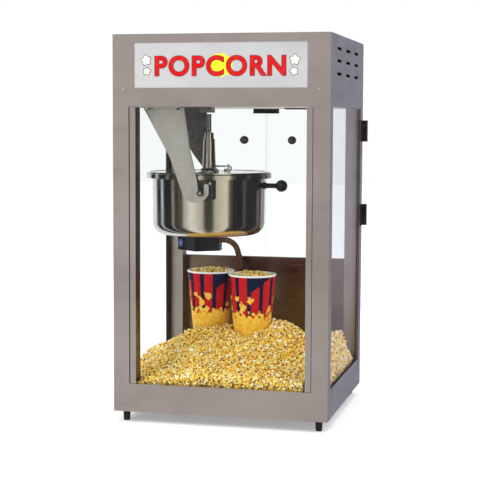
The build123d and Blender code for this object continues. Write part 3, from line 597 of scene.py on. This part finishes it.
@dataclass
class PopcornPile:
    """Flakes strewn at given places and joined into one mesh."""

    name: str
    body: Body
    flakes: Sequence[Flake]
    draw: random.Random
    spots: list[Vector] = field(default_factory=list)
    radius: float = 9.0 * MM
    bounds: tuple[Vector, Vector] | None = None

    def build(self, material: bpy.types.Material) -> bpy.types.Object:
        """Join the strewn flakes, pressed flat where they would pass the bounds.

        Args:
            material: The popcorn's finish.

        Returns:
            The pile as one piece.
        """
        points, faces, lobes, hulls, tints = [], [], [], [], []
        base = 0
        for spot in self.spots:
            flake = self.draw.choice(self.flakes)
            turn = Euler([self.draw.uniform(0, 2 * math.pi) for _ in range(3)]).to_matrix()
            size = self.radius * self.draw.uniform(0.8, 1.25)
            points.append(flake.points @ np.array(turn).T * size + np.array(spot))
            faces.append(flake.faces + base)
            lobes.append(flake.lobes)
            hulls.append(flake.hulls)
            tints.append(np.full(len(flake.points), self.draw.choice((0.0, 0.1, 0.25, 0.6, 1.0))))
            base += len(flake.points)
        places = np.concatenate(points)
        if self.bounds is not None:
            places = np.clip(places, np.array(self.bounds[0]), np.array(self.bounds[1]))
        mesh = quick_mesh(self.name, places, np.concatenate(faces))
        for key, values in (("lobe", lobes), ("hull", hulls), ("tint", tints)):
            mark(mesh, key, np.concatenate(values))
        return add_piece(self.name, mesh, material, self.body)


def mark(mesh: bpy.types.Mesh, key: str, values: np.ndarray) -> None:
    """Store one value for each corner of a mesh, for the popcorn's finish to read."""
    layer = mesh.attributes.new(key, "FLOAT", "POINT")
    layer.data.foreach_set("value", values.astype(np.float32))


def quick_mesh(name: str, points: np.ndarray, faces: np.ndarray) -> bpy.types.Mesh:
    """Make a mesh of equal-sided faces straight from arrays.

    Args:
        name: Name of the mesh.
        points: Corner places, one row each.
        faces: Corner numbers, one row for each face.

    Returns:
        The new mesh.
    """
    mesh = bpy.data.meshes.new(name)
    sides = faces.shape[1]
    mesh.vertices.add(len(points))
    mesh.vertices.foreach_set("co", points.astype(np.float32).ravel())
    mesh.loops.add(faces.size)
    mesh.loops.foreach_set("vertex_index", faces.astype(np.int32).ravel())
    mesh.polygons.add(len(faces))
    mesh.polygons.foreach_set("loop_start", np.arange(0, faces.size, sides, dtype=np.int32))
    mesh.update(calc_edges=True)
    mesh.validate()
    return mesh


@dataclass
class PopcornStock:
    """All the popcorn: the heap on the deck and the filling of both cups."""

    pitch: float = 10.5 * MM
    layers: int = 2
    kinds: int = 12
    seed: int = 7
    per_piece: int = 560
    margin: float = 9 * MM
    sink: float = 6 * MM
    cup_foot: float = 57 * MM
    cup_flare: float = 18 * MM
    front_start: float = 58 * MM
    front_notches: float = 114 * MM
    side_start: float = 42 * MM
    side_notches: float = 75 * MM

    def height(self, x: float, y: float) -> float | None:
        """Return the height of the heap at a place, or None off the heap."""
        hit = heap_tree().ray_cast(Vector((x, y, 1.0)), Vector((0, 0, -1)))[0]
        return hit.z if hit is not None else None

    def clear_height(self, x: float, y: float) -> float | None:
        """Height of the heap, or None within a flake's reach of its notched corners and cups.

        Args:
            x: Place along X.
            y: Place along Y.

        Returns:
            The height.
        """
        top = self.height(x, y)
        reach = self.margin - 1 * MM
        steps = ((reach, 0), (-reach, 0), (0, reach), (0, -reach))
        if top is None or any(self.height(x + dx, y + dy) is None for dx, dy in steps):
            return None
        for cup in ("cup_left", "cup_right"):
            axis = middle(cup)
            if math.hypot(x - axis[0], y - axis[1]) < self.cup_reach(cup, top):
                return None
        return top

    def cup_reach(self, cup: str, z: float) -> float:
        """Return how near a flake's middle may come to a cup's middle at a height."""
        low, high = corners(cup)
        return self.cup_foot + self.cup_flare * min(max((z - low.z) / (high.z - low.z), 0.0), 1.0)

    def heap_spots(self, draw: random.Random) -> list[Vector]:
        """Places of the heap's flakes: its top in layers, then its faces behind the glass.

        Args:
            draw: Source of the chances.

        Returns:
            The places.
        """
        low, high = corners("popcorn_heap")
        across = int((high.x - low.x - 2 * self.margin) / self.pitch)
        back = int((high.y - low.y - 2 * self.margin) / self.pitch)
        spots = []
        for layer in range(self.layers):
            shift = 0.5 * (layer % 2)
            for i in range(across + 1):
                for j in range(back + 1):
                    x = low.x + self.margin + (i + draw.uniform(-0.4, 0.4) + shift) * self.pitch
                    y = low.y + self.margin + (j + draw.uniform(-0.4, 0.4) + shift) * self.pitch
                    x = min(max(x, low.x + self.margin), high.x - self.margin)
                    y = min(max(y, low.y + self.margin), high.y - self.margin)
                    top = self.clear_height(x, y)
                    if top is None:
                        continue
                    spots.append(Vector((x, y, top - self.sink - layer * 7 * MM - draw.uniform(0, 4 * MM))))
        return spots + self.wall_spots(draw)

    def wall_spots(self, draw: random.Random) -> list[Vector]:
        """Places of the flakes that show against the front and side panes.

        Args:
            draw: Source of the chances.

        Returns:
            The places.
        """
        low, high = corners("popcorn_heap")
        inset, step = self.margin - 1 * MM, 8.5 * MM
        columns = range(int((high.x - low.x - self.front_notches) / step) + 1)
        feet = [(low.x + self.front_start + i * step, low.y + inset + deeper)
                for deeper in (0.0, 7 * MM) for i in columns]
        rows = range(int((high.y - low.y - self.side_notches) / step) + 1)
        feet += [(x, low.y + self.side_start + j * step)
                 for j in rows for x in (low.x + inset, high.x - inset)]
        spots = []
        for x, y in feet:
            top = self.height(x, y)
            z = low.z + 5 * MM
            while top is not None and z < top - 4 * MM:
                spots.append(Vector((x + draw.uniform(-3, 3) * MM, y, z + draw.uniform(-3, 3) * MM)))
                z += step
        return spots

    def cup_spots(self, draw: random.Random, name: str) -> list[Vector]:
        """Places of the flakes in a cup: rings that rise to a dome over the rim.

        Args:
            draw: Source of the chances.
            name: The cup's node.

        Returns:
            The places.
        """
        high = corners(name)[1]
        x, y = middle(name)
        spots = []
        for layer, drop in enumerate((15 * MM, 5.5 * MM)):
            for ring in range(5):
                radius = ring * 12.2 * MM
                count = max(1, int(2 * math.pi * radius / (11 * MM)))
                for k in range(count):
                    turn = 2 * math.pi * (k + draw.uniform(-0.25, 0.25)) / count + layer
                    dome = 7 * MM * (1 - (ring / 4.4) ** 2)
                    z = high.z - drop + dome + draw.uniform(-2, 3) * MM
                    spots.append(Vector((x + radius * math.cos(turn), y + radius * math.sin(turn), z)))
        return spots

    def build(self) -> None:
        """Build the heap in several pieces, and both fillings."""
        draw = random.Random(self.seed)
        material = PoppedCorn("popped_corn").make()
        flakes = [Flake.grow(draw) for _ in range(self.kinds)]
        low, high = corners("popcorn_heap")
        inner = (low + Vector([0.5 * MM] * 3), high + Vector((-0.5 * MM, -0.5 * MM, 8 * MM)))
        spots = sorted(self.heap_spots(draw), key=lambda spot: spot.x)
        count = math.ceil(len(spots) / self.per_piece)
        share = math.ceil(len(spots) / count)
        for part in range(count):
            chosen = spots[part * share:(part + 1) * share]
            pile = PopcornPile(f"popcorn_patch_{part}", Body.CABINET, flakes, draw, chosen, bounds=inner)
            pile.build(material)
        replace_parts(self.bed(material), "popcorn_heap")
        for name, body in (("cup_left", Body.LEFT_CUP), ("cup_right", Body.RIGHT_CUP)):
            chosen = self.cup_spots(draw, name)
            PopcornPile(f"filling_{name}", body, flakes, draw, chosen).build(material)

    def bed(self, material: bpy.types.Material) -> bpy.types.Object:
        """Lumpy ground under the flakes, so that no gap shows between them.

        Args:
            material: The popcorn's finish.

        Returns:
            The ground as one piece.
        """
        low, high = corners("popcorn_heap")
        draw = random.Random(self.seed + 1)
        across, back = 58, 54
        bm = bmesh.new()
        grid: dict[tuple[int, int], bmesh.types.BMVert] = {}
        for i in range(across + 1):
            for j in range(back + 1):
                x = low.x + 3 * MM + (high.x - low.x - 6 * MM) * i / across
                y = low.y + 3 * MM + (high.y - low.y - 6 * MM) * j / back
                top = self.height(x, y)
                if top is not None:
                    z = max(low.z + 1 * MM, top - draw.uniform(9, 15) * MM)
                    grid[i, j] = bm.verts.new((x, y, z))
        for i in range(across):
            for j in range(back):
                ring = [(i, j), (i + 1, j), (i + 1, j + 1), (i, j + 1)]
                if all(place in grid for place in ring):
                    bm.faces.new([grid[place] for place in ring])
        mesh = mesh_from(bm, "popcorn_bed")
        for key, value in (("lobe", 0.3), ("hull", 0.0), ("tint", 0.1)):
            mark(mesh, key, np.full(len(mesh.vertices), value))
        return add_piece("popcorn_bed", mesh, material, Body.CABINET)


@lru_cache(maxsize=1)
def heap_tree() -> BVHTree:
    """Search tree over the heap's surface."""
    return BVHTree.FromObject(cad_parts["popcorn_heap"], bpy.context.evaluated_depsgraph_get())


# ---- sign ----
@dataclass
class SignArt:
    """Plain block lettering and simple puffs on the sign panel."""

    letter_height: float = 52 * MM
    em_share: float = 1.36
    spacing: float = 1.14
    layer: float = 0.25 * MM

    def letters(self, name: str, swell: float, step: int, colour: Colour) -> None:
        """Lay down one layer of the lettering.

        Args:
            name: Name of the piece.
            swell: How far the outline is moved outwards.
            step: Layer above the panel.
            colour: Its ink.
        """
        low, high = corners("sign_panel")
        curve = bpy.data.curves.new(name, "FONT")
        curve.body = "POPCORN"
        curve.size = self.letter_height * self.em_share
        curve.offset = swell
        curve.extrude = self.layer / 2
        curve.space_character = self.spacing
        curve.align_x = "CENTER"
        text = bpy.data.objects.new(name + "_text", curve)
        bpy.context.scene.collection.objects.link(text)
        text.rotation_euler = (math.pi / 2, 0, 0)
        front = low.y - self.layer * (step + 0.55)
        text.location = ((low.x + high.x) / 2, front, (low.z + high.z - self.letter_height) / 2)
        bpy.context.view_layer.update()
        mesh = bpy.data.meshes.new_from_object(text)
        mesh.transform(text.matrix_world)
        bpy.data.objects.remove(text)
        self.lay(name, mesh, colour)

    def puff(self, bm: bmesh.types.BMesh, x: float, z: float, radius: float, step: int, turn: float,
             lobes: int = 5, depth: float = 0.26, flat: float = 1.0) -> None:
        """Add a flat scalloped shape.

        Args:
            bm: The mesh that it is added to.
            x: Place along X from the panel's middle.
            z: Place along Z from the panel's middle.
            radius: Its mean radius.
            step: Layer above the panel.
            turn: Its turn.
            lobes: Number of its scallops.
            depth: How deep the scallops are cut.
            flat: Height over width.
        """
        low, high = corners("sign_panel")
        front = low.y - self.layer * (step + 0.55)
        centre = Vector(((low.x + high.x) / 2 + x, front, (low.z + high.z) / 2 + z))
        count = 80
        ring = []
        for k in range(count):
            angle = 2 * math.pi * k / count
            reach = radius * (1 - depth + depth * 1.5 * abs(math.sin(lobes * angle / 2 + turn)))
            ring.append((reach * math.cos(angle), reach * flat * math.sin(angle)))
        rows = []
        for offset in (self.layer / 2, -self.layer / 2):
            rows.append([bm.verts.new(centre + Vector((dx, offset, dz))) for dx, dz in ring])
        for k in range(count):
            follow = (k + 1) % count
            bm.faces.new((rows[0][k], rows[0][follow], rows[1][follow], rows[1][k]))
        for row in rows:
            bm.faces.new(row)

    def puffs(self) -> None:
        """Lay down the puffs at both ends and the plain yellow shape behind the letters."""
        spots = ((-205, 14, 12, 0.3), (-203, -16, 9, 1.2), (204, 13, 12, 0.9), (202, -17, 9, 0.1))
        dark, cream, yellow = bmesh.new(), bmesh.new(), bmesh.new()
        for x, z, radius, turn in spots:
            self.puff(dark, x * MM, z * MM, (radius + 1.8) * MM, 0, turn)
            self.puff(cream, x * MM, z * MM, radius * MM, 1, turn)
        self.puff(yellow, 0.0, 0.0, 36 * MM, 0, 0.4, 12, 0.10, 0.86)
        self.lay("puff_outlines", mesh_from(dark, "puff_outlines"), (0.03, 0.03, 0.035))
        self.lay("puff_faces", mesh_from(cream, "puff_faces"), (0.70, 0.68, 0.60))
        self.lay("yellow_patch", mesh_from(yellow, "yellow_patch"), (0.72, 0.70, 0.02))

    def lay(self, name: str, mesh: bpy.types.Mesh, colour: Colour) -> None:
        """Lay one layer of the artwork in its own ink."""
        add_piece(name, mesh, Ink(f"ink_{name}", colour).make(), Body.CABINET, smooth=False)

    def build(self) -> None:
        """Build the lettering and the puffs."""
        self.puffs()
        self.letters("letter_outlines", 3.3 * MM, 2, (0.03, 0.02, 0.02))
        self.letters("letter_faces", 2.3 * MM, 3, (0.52, 0.002, 0.003))


# ---- small fittings ----
@dataclass
class HubRing:
    """Dark lumpy clamp ring at the foot of the stirrer tube."""

    radius: float = 21.0 * MM
    height: float = 10.0 * MM
    lobes: int = 8

    def build(self) -> None:
        """Build the ring round the tube's flange."""
        x, y = middle("stirrer_tube")
        foot = corners("stirrer_tube")[0].z + 0.4 * MM
        bm = bmesh.new()
        segments, rings = 96, 10
        grid = []
        for i in range(segments):
            turn = 2 * math.pi * i / segments
            swell = 1.2 * MM * math.cos(self.lobes * turn)
            row = []
            for k in range(rings + 1):
                bulge = math.sin(math.pi * k / rings)
                radius = self.radius + 0.4 * MM + (swell + 2.2 * MM) * bulge
                z = foot + self.height * k / rings
                row.append(bm.verts.new((x + radius * math.cos(turn), y + radius * math.sin(turn), z)))
            inner = self.radius - 4 * MM
            for z in (foot + self.height, foot):
                row.append(bm.verts.new((x + inner * math.cos(turn), y + inner * math.sin(turn), z)))
            grid.append(row)
        for i in range(segments):
            here, there = grid[i], grid[(i + 1) % segments]
            for k in range(len(here)):
                follow = (k + 1) % len(here)
                bm.faces.new((here[k], there[k], there[follow], here[follow]))
        finish = Moulded("hub_casting", (0.05, 0.048, 0.045), 0.5, 1.2, 0.25, 0.6).make()
        add_piece("hub_ring", mesh_from(bm, "hub_ring"), finish, Body.KETTLE)


@dataclass
class Turned:
    """Small round fitting turned about its own axis."""

    name: str
    centre: Vector
    axis: Vector
    outline: Sequence[tuple[float, float]]
    segments: int = 40

    def fit(self, material: bpy.types.Material, body: Body) -> None:
        """Build the piece and put it on its body; one of few sides keeps them flat."""
        add_piece(self.name, self.mesh(), material, body, smooth=self.segments > 6)

    def mesh(self) -> bpy.types.Mesh:
        """Turn the outline, given as radius and distance along the axis in millimetres."""
        bm = bmesh.new()
        turn = self.axis.to_track_quat("Z", "Y").to_matrix()
        rings: list[list[bmesh.types.BMVert]] = []
        for radius, along in self.outline:
            if radius == 0.0:
                rings.append([bm.verts.new(self.centre + turn @ Vector((0, 0, along * MM)))])
                continue
            arm = Vector((radius * MM, 0, along * MM))
            spins = [Matrix.Rotation(2 * math.pi * k / self.segments, 3, "Z") for k in range(self.segments)]
            rings.append([bm.verts.new(self.centre + turn @ spin @ arm) for spin in spins])
        for here, there in zip(rings, rings[1:]):
            for k in range(self.segments):
                follow = (k + 1) % self.segments
                corner = [here[k % len(here)], here[follow % len(here)]]
                corner += [there[follow % len(there)], there[k % len(there)]]
                bm.faces.new(list(dict.fromkeys(corner)))
        return mesh_from(bm, self.name)


@dataclass
class Fittings:
    """Small parts that the frame leaves out: pin heads, bracket bolts, lens, screws and lamp strip."""

    pivot: tuple[float, float] = (-66.5 * MM, 635.0 * MM)
    bracket_bolt: tuple[float, float] = (-43 * MM, 661 * MM)
    bracket_inset: float = 22 * MM
    lens_face: tuple[Vector, Vector] = (Vector((-192 * MM, 140.5 * MM, 457 * MM)), Vector((-71.0, 60.0, 0.0)))
    lens_along: float = 70 * MM
    lens_proud: float = 5 * MM
    lamp_low: Vector = Vector((112 * MM, 8 * MM, 866.0 * MM))
    lamp_high: Vector = Vector((215 * MM, 42 * MM, 869.9 * MM))

    def build(self) -> None:
        """Build every fitting."""
        zinc = BrushedSteel("zinc_fastener", (0.74, 0.72, 0.62), (0.56, 0.54, 0.46), Grain.ACROSS, 0.3).make()
        self.pin_heads(zinc)
        self.knob_screws(zinc)
        self.pilot_lens()
        self.lamp_strip()

    def pin_heads(self, zinc: bpy.types.Material) -> None:
        """Domed head on each kettle pin, and a bolt at the corner of each bracket.

        Args:
            zinc: Finish of the fasteners.
        """
        low, high = corners("trunnions")
        dome = [(0.0, 1.6), (3.0, 1.4), (4.6, 0.8), (5.6, 0.0), (5.6, -0.6), (0.0, -0.6)]
        hexagon = [(0.0, 3.4), (3.2, 3.2), (4.4, 2.6), (4.6, 0.0), (6.4, -0.1), (6.4, -0.9), (0.0, -0.9)]
        for end, side in (("near", -1.0), ("far", 1.0)):
            y = low.y if side < 0 else high.y
            way = Vector((0, side, 0))
            seat = Vector((self.pivot[0], y - side * 1 * MM, self.pivot[1]))
            Turned(f"pin_head_{end}", seat, way, dome).fit(zinc, Body.KETTLE)
            seat = Vector((self.bracket_bolt[0], y - side * self.bracket_inset, self.bracket_bolt[1]))
            Turned(f"bracket_bolt_{end}", seat, way, hexagon, 6).fit(zinc, Body.KETTLE)

    def knob_screws(self, zinc: bpy.types.Material) -> None:
        """Slotted-looking screw head and washer in the middle of each inner door rosette.

        Args:
            zinc: Finish of the fasteners.
        """
        outline = [(0.0, 1.2), (2.0, 1.1), (2.9, 0.4), (2.9, 0.1), (4.6, 0.1), (4.6, -0.5), (0.0, -0.5)]
        for node, body in (("door_knob_left", Body.DOOR_LEFT), ("door_knob_right", Body.DOOR_RIGHT)):
            low, high = corners(node)
            centre = Vector(((low.x + high.x) / 2, low.y, (low.z + high.z) / 2))
            Turned(f"screw_{node}", centre, Vector((0, -1, 0)), outline).fit(zinc, body)

    def pilot_lens(self) -> None:
        """Blue lens with a thin bezel on the outlet box."""
        corner, edge = self.lens_face
        along = edge.normalized()
        outward = Vector((-along.y, along.x, 0.0))
        seat = corner + along * self.lens_along + outward * self.lens_proud
        dome = [(0.0, 3.0), (4.0, 2.6), (7.4, 1.5), (9.2, 0.0), (9.2, -0.5), (0.0, -0.5)]
        bezel = [(9.3, -0.4), (9.3, 1.0), (10.0, 1.6), (11.2, 1.4), (11.8, 0.4), (11.8, -0.4), (9.3, -0.4)]
        blue = Moulded("pilot_blue", (0.05, 0.11, 0.42), 0.12, 0.9, 0.02, 0.0, 0.8).make()
        rim = Moulded("pilot_rim", (0.12, 0.14, 0.26), 0.3, 0.9, 0.02, 0.3, 0.4).make()
        Turned("pilot_lens", seat, outward, dome).fit(blue, Body.CABINET)
        Turned("pilot_bezel", seat, outward, bezel).fit(rim, Body.CABINET)

    def lamp_strip(self) -> None:
        """Dark lens strip of the inside lamp, just under the ceiling."""
        bm = bmesh.new()
        bmesh.ops.create_cube(bm, size=1.0)
        size, centre = self.lamp_high - self.lamp_low, (self.lamp_low + self.lamp_high) / 2
        for vert in bm.verts:
            vert.co = centre + Vector([a * b for a, b in zip(vert.co, size)])
        bmesh.ops.bevel(bm, geom=bm.edges[:], offset=0.8 * MM, segments=3, affect="EDGES", profile=0.5)
        finish = Moulded("lamp_lens", (0.02, 0.02, 0.022), 0.2, 0.8, 0.03).make()
        add_piece("lamp_strip", mesh_from(bm, "lamp_strip"), finish, Body.CABINET)


# ---- dressing the frame ----
class Cabinet:
    """Finishes of the machine's own parts."""

    def dress(self) -> None:
        """Give every part of the frame its finish."""
        self.sheet_metal()
        self.kettle()
        self.dark_parts()
        self.glass_and_print()

    def sheet_metal(self) -> None:
        """Dress the cabinet's steel, the arms and the fasteners."""
        dress(BrushedSteel("steel_upright", (0.64, 0.595, 0.60), (0.49, 0.455, 0.455), Grain.UPRIGHT),
              "post_front_left", "post_front_right", "post_rear_left", "post_rear_right", "glass_channels")
        dress(BrushedSteel("steel_across", (0.64, 0.595, 0.60), (0.50, 0.465, 0.465), Grain.ACROSS),
              "ceiling_pan", "base_pan", "kick_panel", "sign_box", "control_panel", "crumb_drawer")
        # painted reflection and shade: the rear panel and deck plate get a brown-dark steel colour that
        # stands in for the popcorn reflected in them and the shade inside the cabinet
        dress(BrushedSteel("steel_painted_reflection", (0.36, 0.27, 0.20), (0.12, 0.085, 0.065), Grain.ACROSS, 0.2),
              "rear_panel", "deck_plate")
        # painted shade: the jamb strips are steel coloured dark brown-grey to stand in for the shade they sit
        # in beside the glass
        dress(BrushedSteel("steel_painted_shade", (0.20, 0.17, 0.15), (0.11, 0.095, 0.085), Grain.UPRIGHT, 0.4),
              "jamb_strips")
        dress(Galvanised("galvanised_sheet"), "hanger_arm_near")
        # painted shade: the far hanger arm gets a dark copy of the galvanised finish for the shadow it stands
        # in behind the kettle
        dress(Galvanised("galvanised_painted_shade", (0.20, 0.19, 0.195), (0.11, 0.105, 0.11)), "hanger_arm_far")
        dress(BrushedSteel("machined_steel", (0.55, 0.54, 0.52), (0.40, 0.39, 0.38), Grain.UPRIGHT, 0.25),
              "heating_element", "foot_screws", "hanger_bolts", "drive_socket", "stirrer")
        dress(BrushedSteel("bright_screw", (0.80, 0.79, 0.76), (0.60, 0.59, 0.57), Grain.UPRIGHT, 0.22),
              "box_screws")

    def kettle(self) -> None:
        """Dress the kettle, its lids and its fittings."""
        dress(PolishedSteel("polished_steel"), "kettle_shell", "kettle_rim", "lid_left", "lid_right",
              "lid_bail", "stirrer_tube")
        dress(BrushedSteel("steel_bridge", (0.70, 0.67, 0.62), (0.52, 0.49, 0.45), Grain.DEEP, 0.25),
              "lid_bridge")
        dress(PolishedSteel("spun_aluminium", (0.6, 0.6, 0.59), 0.3), "kettle_pan")
        dress(Moulded("dark_casting", (0.06, 0.055, 0.045), 0.5, 2.2, 0.5, 0.75), "trunnions")
        dress(Moulded("black_enamel_rod", (0.006, 0.006, 0.006), 0.3, 0.8, 0.06, specular=0.3), "dump_rod")
        dress(Moulded("polished_phenolic", (0.004, 0.004, 0.004), 0.14, 1.0, 0.01, specular=0.5), "dump_knob")

    def dark_parts(self) -> None:
        """Dress the painted, rubber and plastic parts."""
        dress(Moulded("motor_paint", (0.22, 0.23, 0.24), 0.4, 1.0, 0.15, 0.5), "gearmotor")
        dress(Moulded("olive_paint", (0.17, 0.17, 0.13), 0.4), "bearing_block")
        # painted reflection: the conduit's brown colour stands in for the popcorn reflected in the glossy
        # conduit
        dress(Moulded("conduit_painted_reflection", (0.22, 0.12, 0.07), 0.28, 1.4, 0.08, 0.85, 0.2), "conduit")
        dress(Moulded("black_enamel", (0.008, 0.008, 0.008), 0.35, 0.8, 0.06, specular=0.3),
              "hinge_leaves", "hinge_clamps_left", "hinge_clamps_right")
        dress(Moulded("dark_bakelite", (0.02, 0.019, 0.018), 0.22, 1.0, 0.02, 0.0, 0.5),
              "door_knob_left", "door_knob_right")
        dress(Moulded("black_rubber", (0.008, 0.008, 0.008), 0.7, 0.7, 0.1), "feet", "glass_seals")
        dress(Moulded("black_plastic", (0.004, 0.004, 0.004), 0.4, 0.7, 0.05),
              "switch_bezels", "switch_motor", "switch_light", "power_gland", "door_catch")
        dress(Moulded("outlet_box_plastic", (0.006, 0.006, 0.009), 0.3, 0.9, 0.06, specular=0.3),
              "junction_box")
        dress(Moulded("red_plastic", (0.45, 0.02, 0.015), 0.25, 0.7, 0.02, 0.0, 0.4), "switch_heat")
        dress(Moulded("white_lamp", (0.85, 0.86, 0.84), 0.35, 0.9, 0.02), "sign_lamp")

    def glass_and_print(self) -> None:
        """Dress the panes, the sign sheet and the printed cups."""
        dress(PearlAcrylic("pearl_acrylic"), "sign_panel")
        dress(ClearGlass("pane_clear"), "glass_front", "door_glass_left", "door_glass_right")
        dress(ClearGlass("pane_left", glare=0.08, edge_axis="Y"), "glass_left")
        dress(ClearGlass("pane_right", tint=(0.97, 0.97, 0.99), glare=0.34, edge_axis="Y"), "glass_right")
        for name, start in (("cup_left", 0.53), ("cup_right", 0.585)):
            low, high = corners(name)
            dress(CupPrint(f"print_{name}", middle(name), low.z, high.z, start), name)


# ---- studio ----
@dataclass
class Studio:
    """Pale floor, plain soft light and the camera."""

    eye: tuple[float, float, float] = (0.90326, -3.7812, 0.8278)
    yaw_deg: float = 13.665
    pitch_deg: float = 5.010
    roll_deg: float = -0.235
    lens_mm: float = 100.43
    sensor_mm: float = 36.0
    screens: tuple[tuple[float, Colour], ...] = (
        (-180.0, (0.95, 0.95, 0.96)), (180.0, (0.95, 0.95, 0.96)),
        (-122.0, (0.85, 0.85, 0.88)), (-114.0, (0.008, 0.008, 0.010)), (-101.0, (0.008, 0.008, 0.010)),
        (-97.0, (0.75, 0.80, 0.90)), (-94.0, (0.60, 0.65, 0.75)), (-90.0, (0.008, 0.008, 0.010)),
        (-74.0, (0.012, 0.010, 0.010)), (-58.0, (0.10, 0.055, 0.035)), (-50.0, (0.02, 0.018, 0.016)),
        (-42.0, (0.07, 0.06, 0.05)), (-38.0, (0.44, 0.41, 0.35)), (-22.0, (0.84, 0.81, 0.77)),
        (-7.0, (0.62, 0.56, 0.50)), (2.0, (0.52, 0.46, 0.40)),
        (6.0, (0.05, 0.045, 0.04)), (22.0, (0.05, 0.045, 0.04)), (26.0, (0.50, 0.46, 0.38)),
        (52.0, (0.80, 0.73, 0.60)), (56.0, (0.12, 0.10, 0.09)), (66.0, (0.012, 0.010, 0.010)),
        (86.0, (0.010, 0.010, 0.010)), (91.0, (0.12, 0.115, 0.12)), (97.0, (0.018, 0.015, 0.018)),
        (126.0, (0.020, 0.016, 0.018)), (134.0, (0.22, 0.17, 0.15)), (140.0, (0.07, 0.065, 0.08)),
        (152.0, (0.26, 0.27, 0.34)), (172.0, (0.36, 0.36, 0.44)), (176.0, (0.90, 0.90, 0.92)),
    )
    lights: tuple[tuple[str, tuple[float, float, float], float, float], ...] = (
        ("key_left", (-2.4, -2.6, 2.6), 1.8, 52.0),
        ("key_right", (2.8, -1.6, 2.2), 1.4, 26.0),
        ("top", (0.2, 0.2, 3.2), 2.4, 44.0),
    )

    def camera(self) -> None:
        """Place the camera."""
        data = bpy.data.cameras.new("camera")
        data.lens = self.lens_mm
        data.sensor_width = self.sensor_mm
        data.clip_end = 100.0
        camera = bpy.data.objects.new("camera", data)
        bpy.context.scene.collection.objects.link(camera)
        yaw, pitch, roll = (math.radians(v) for v in (self.yaw_deg, self.pitch_deg, self.roll_deg))
        aim = Vector((-math.sin(yaw) * math.cos(pitch), math.cos(yaw) * math.cos(pitch), -math.sin(pitch)))
        turn = aim.to_track_quat("-Z", "Y").to_matrix() @ Matrix.Rotation(-roll, 3, "Z")
        camera.matrix_world = Matrix.Translation(self.eye) @ turn.to_4x4()
        bpy.context.scene.camera = camera

    def floor(self) -> None:
        """Lay the floor."""
        bm = bmesh.new()
        bmesh.ops.create_grid(bm, x_segments=1, y_segments=1, size=14.0)
        mesh = mesh_from(bm, "floor")
        bench = Bench("floor_paint")
        speck = bench.noise(3.0)
        bench.skin(Base_Color=bench.mix(speck, (0.86, 0.86, 0.86), (0.89, 0.89, 0.89)), Roughness=0.9,
                   Specular_IOR_Level=0.0, Emission_Color=(1.0, 1.0, 1.0), Emission_Strength=0.22)
        mesh.materials.append(bench.material)
        floor = bpy.data.objects.new("floor", mesh)
        floor.location.z = -0.0005
        floor.visible_glossy = False
        bpy.context.scene.collection.objects.link(floor)

    def sky(self) -> None:
        """Light the room evenly, white to the camera, with light and dark screens in reflections."""
        world = bpy.data.worlds.new("room")
        bpy.context.scene.world = world
        world.use_nodes = True
        wiring = Wiring(world.node_tree)
        way = wiring.add("SeparateXYZ", Vector=wiring.add("TexCoord").outputs["Generated"]).outputs
        bearing = wiring.math("ARCTAN2", way["X"], wiring.math("MULTIPLY", way["Y"], -1.0))
        ramp = wiring.add("ValToRGB", Fac=wiring.span(bearing, 0.0, 1.0, -math.pi, math.pi))
        stops = ramp.color_ramp.elements
        for number, (bearing_deg, colour) in enumerate(self.screens):
            place = bearing_deg / 360.0 + 0.5
            stop = stops[number] if number < 2 else stops.new(place)
            stop.position = place
            stop.color = (*colour, 1.0)
        glossy = wiring.add("LightPath").outputs["Is Glossy Ray"]
        back = wiring.tree.nodes["Background"]
        wiring.put(back, "Color", wiring.mix(glossy, (1.0, 1.0, 1.0), ramp.outputs["Color"]))
        wiring.put(back, "Strength", 1.0)

    def lamps(self) -> None:
        """Hang the soft boxes."""
        for name, place, size, power in self.lights:
            data = bpy.data.lights.new(name, "AREA")
            data.shape = "SQUARE"
            data.size = size
            data.energy = power
            lamp = bpy.data.objects.new(name, data)
            lamp.location = place
            lamp.visible_glossy = False
            aim = Vector((0, 0, 0.5)) - Vector(place)
            lamp.rotation_euler = aim.to_track_quat("-Z", "Y").to_euler()
            bpy.context.scene.collection.objects.link(lamp)

    def build(self) -> None:
        """Set up the studio."""
        self.camera()
        self.floor()
        self.sky()
        self.lamps()
        bpy.context.scene.view_settings.view_transform = "Standard"


def main() -> None:
    """Build every group in order."""
    logging.basicConfig(level=logging.INFO, format="%(message)s")
    Studio().build()
    Cabinet().dress()
    PopcornStock().build()
    SignArt().build()
    HubRing().build()
    Fittings().build()


if __name__ == "__main__":
    main()
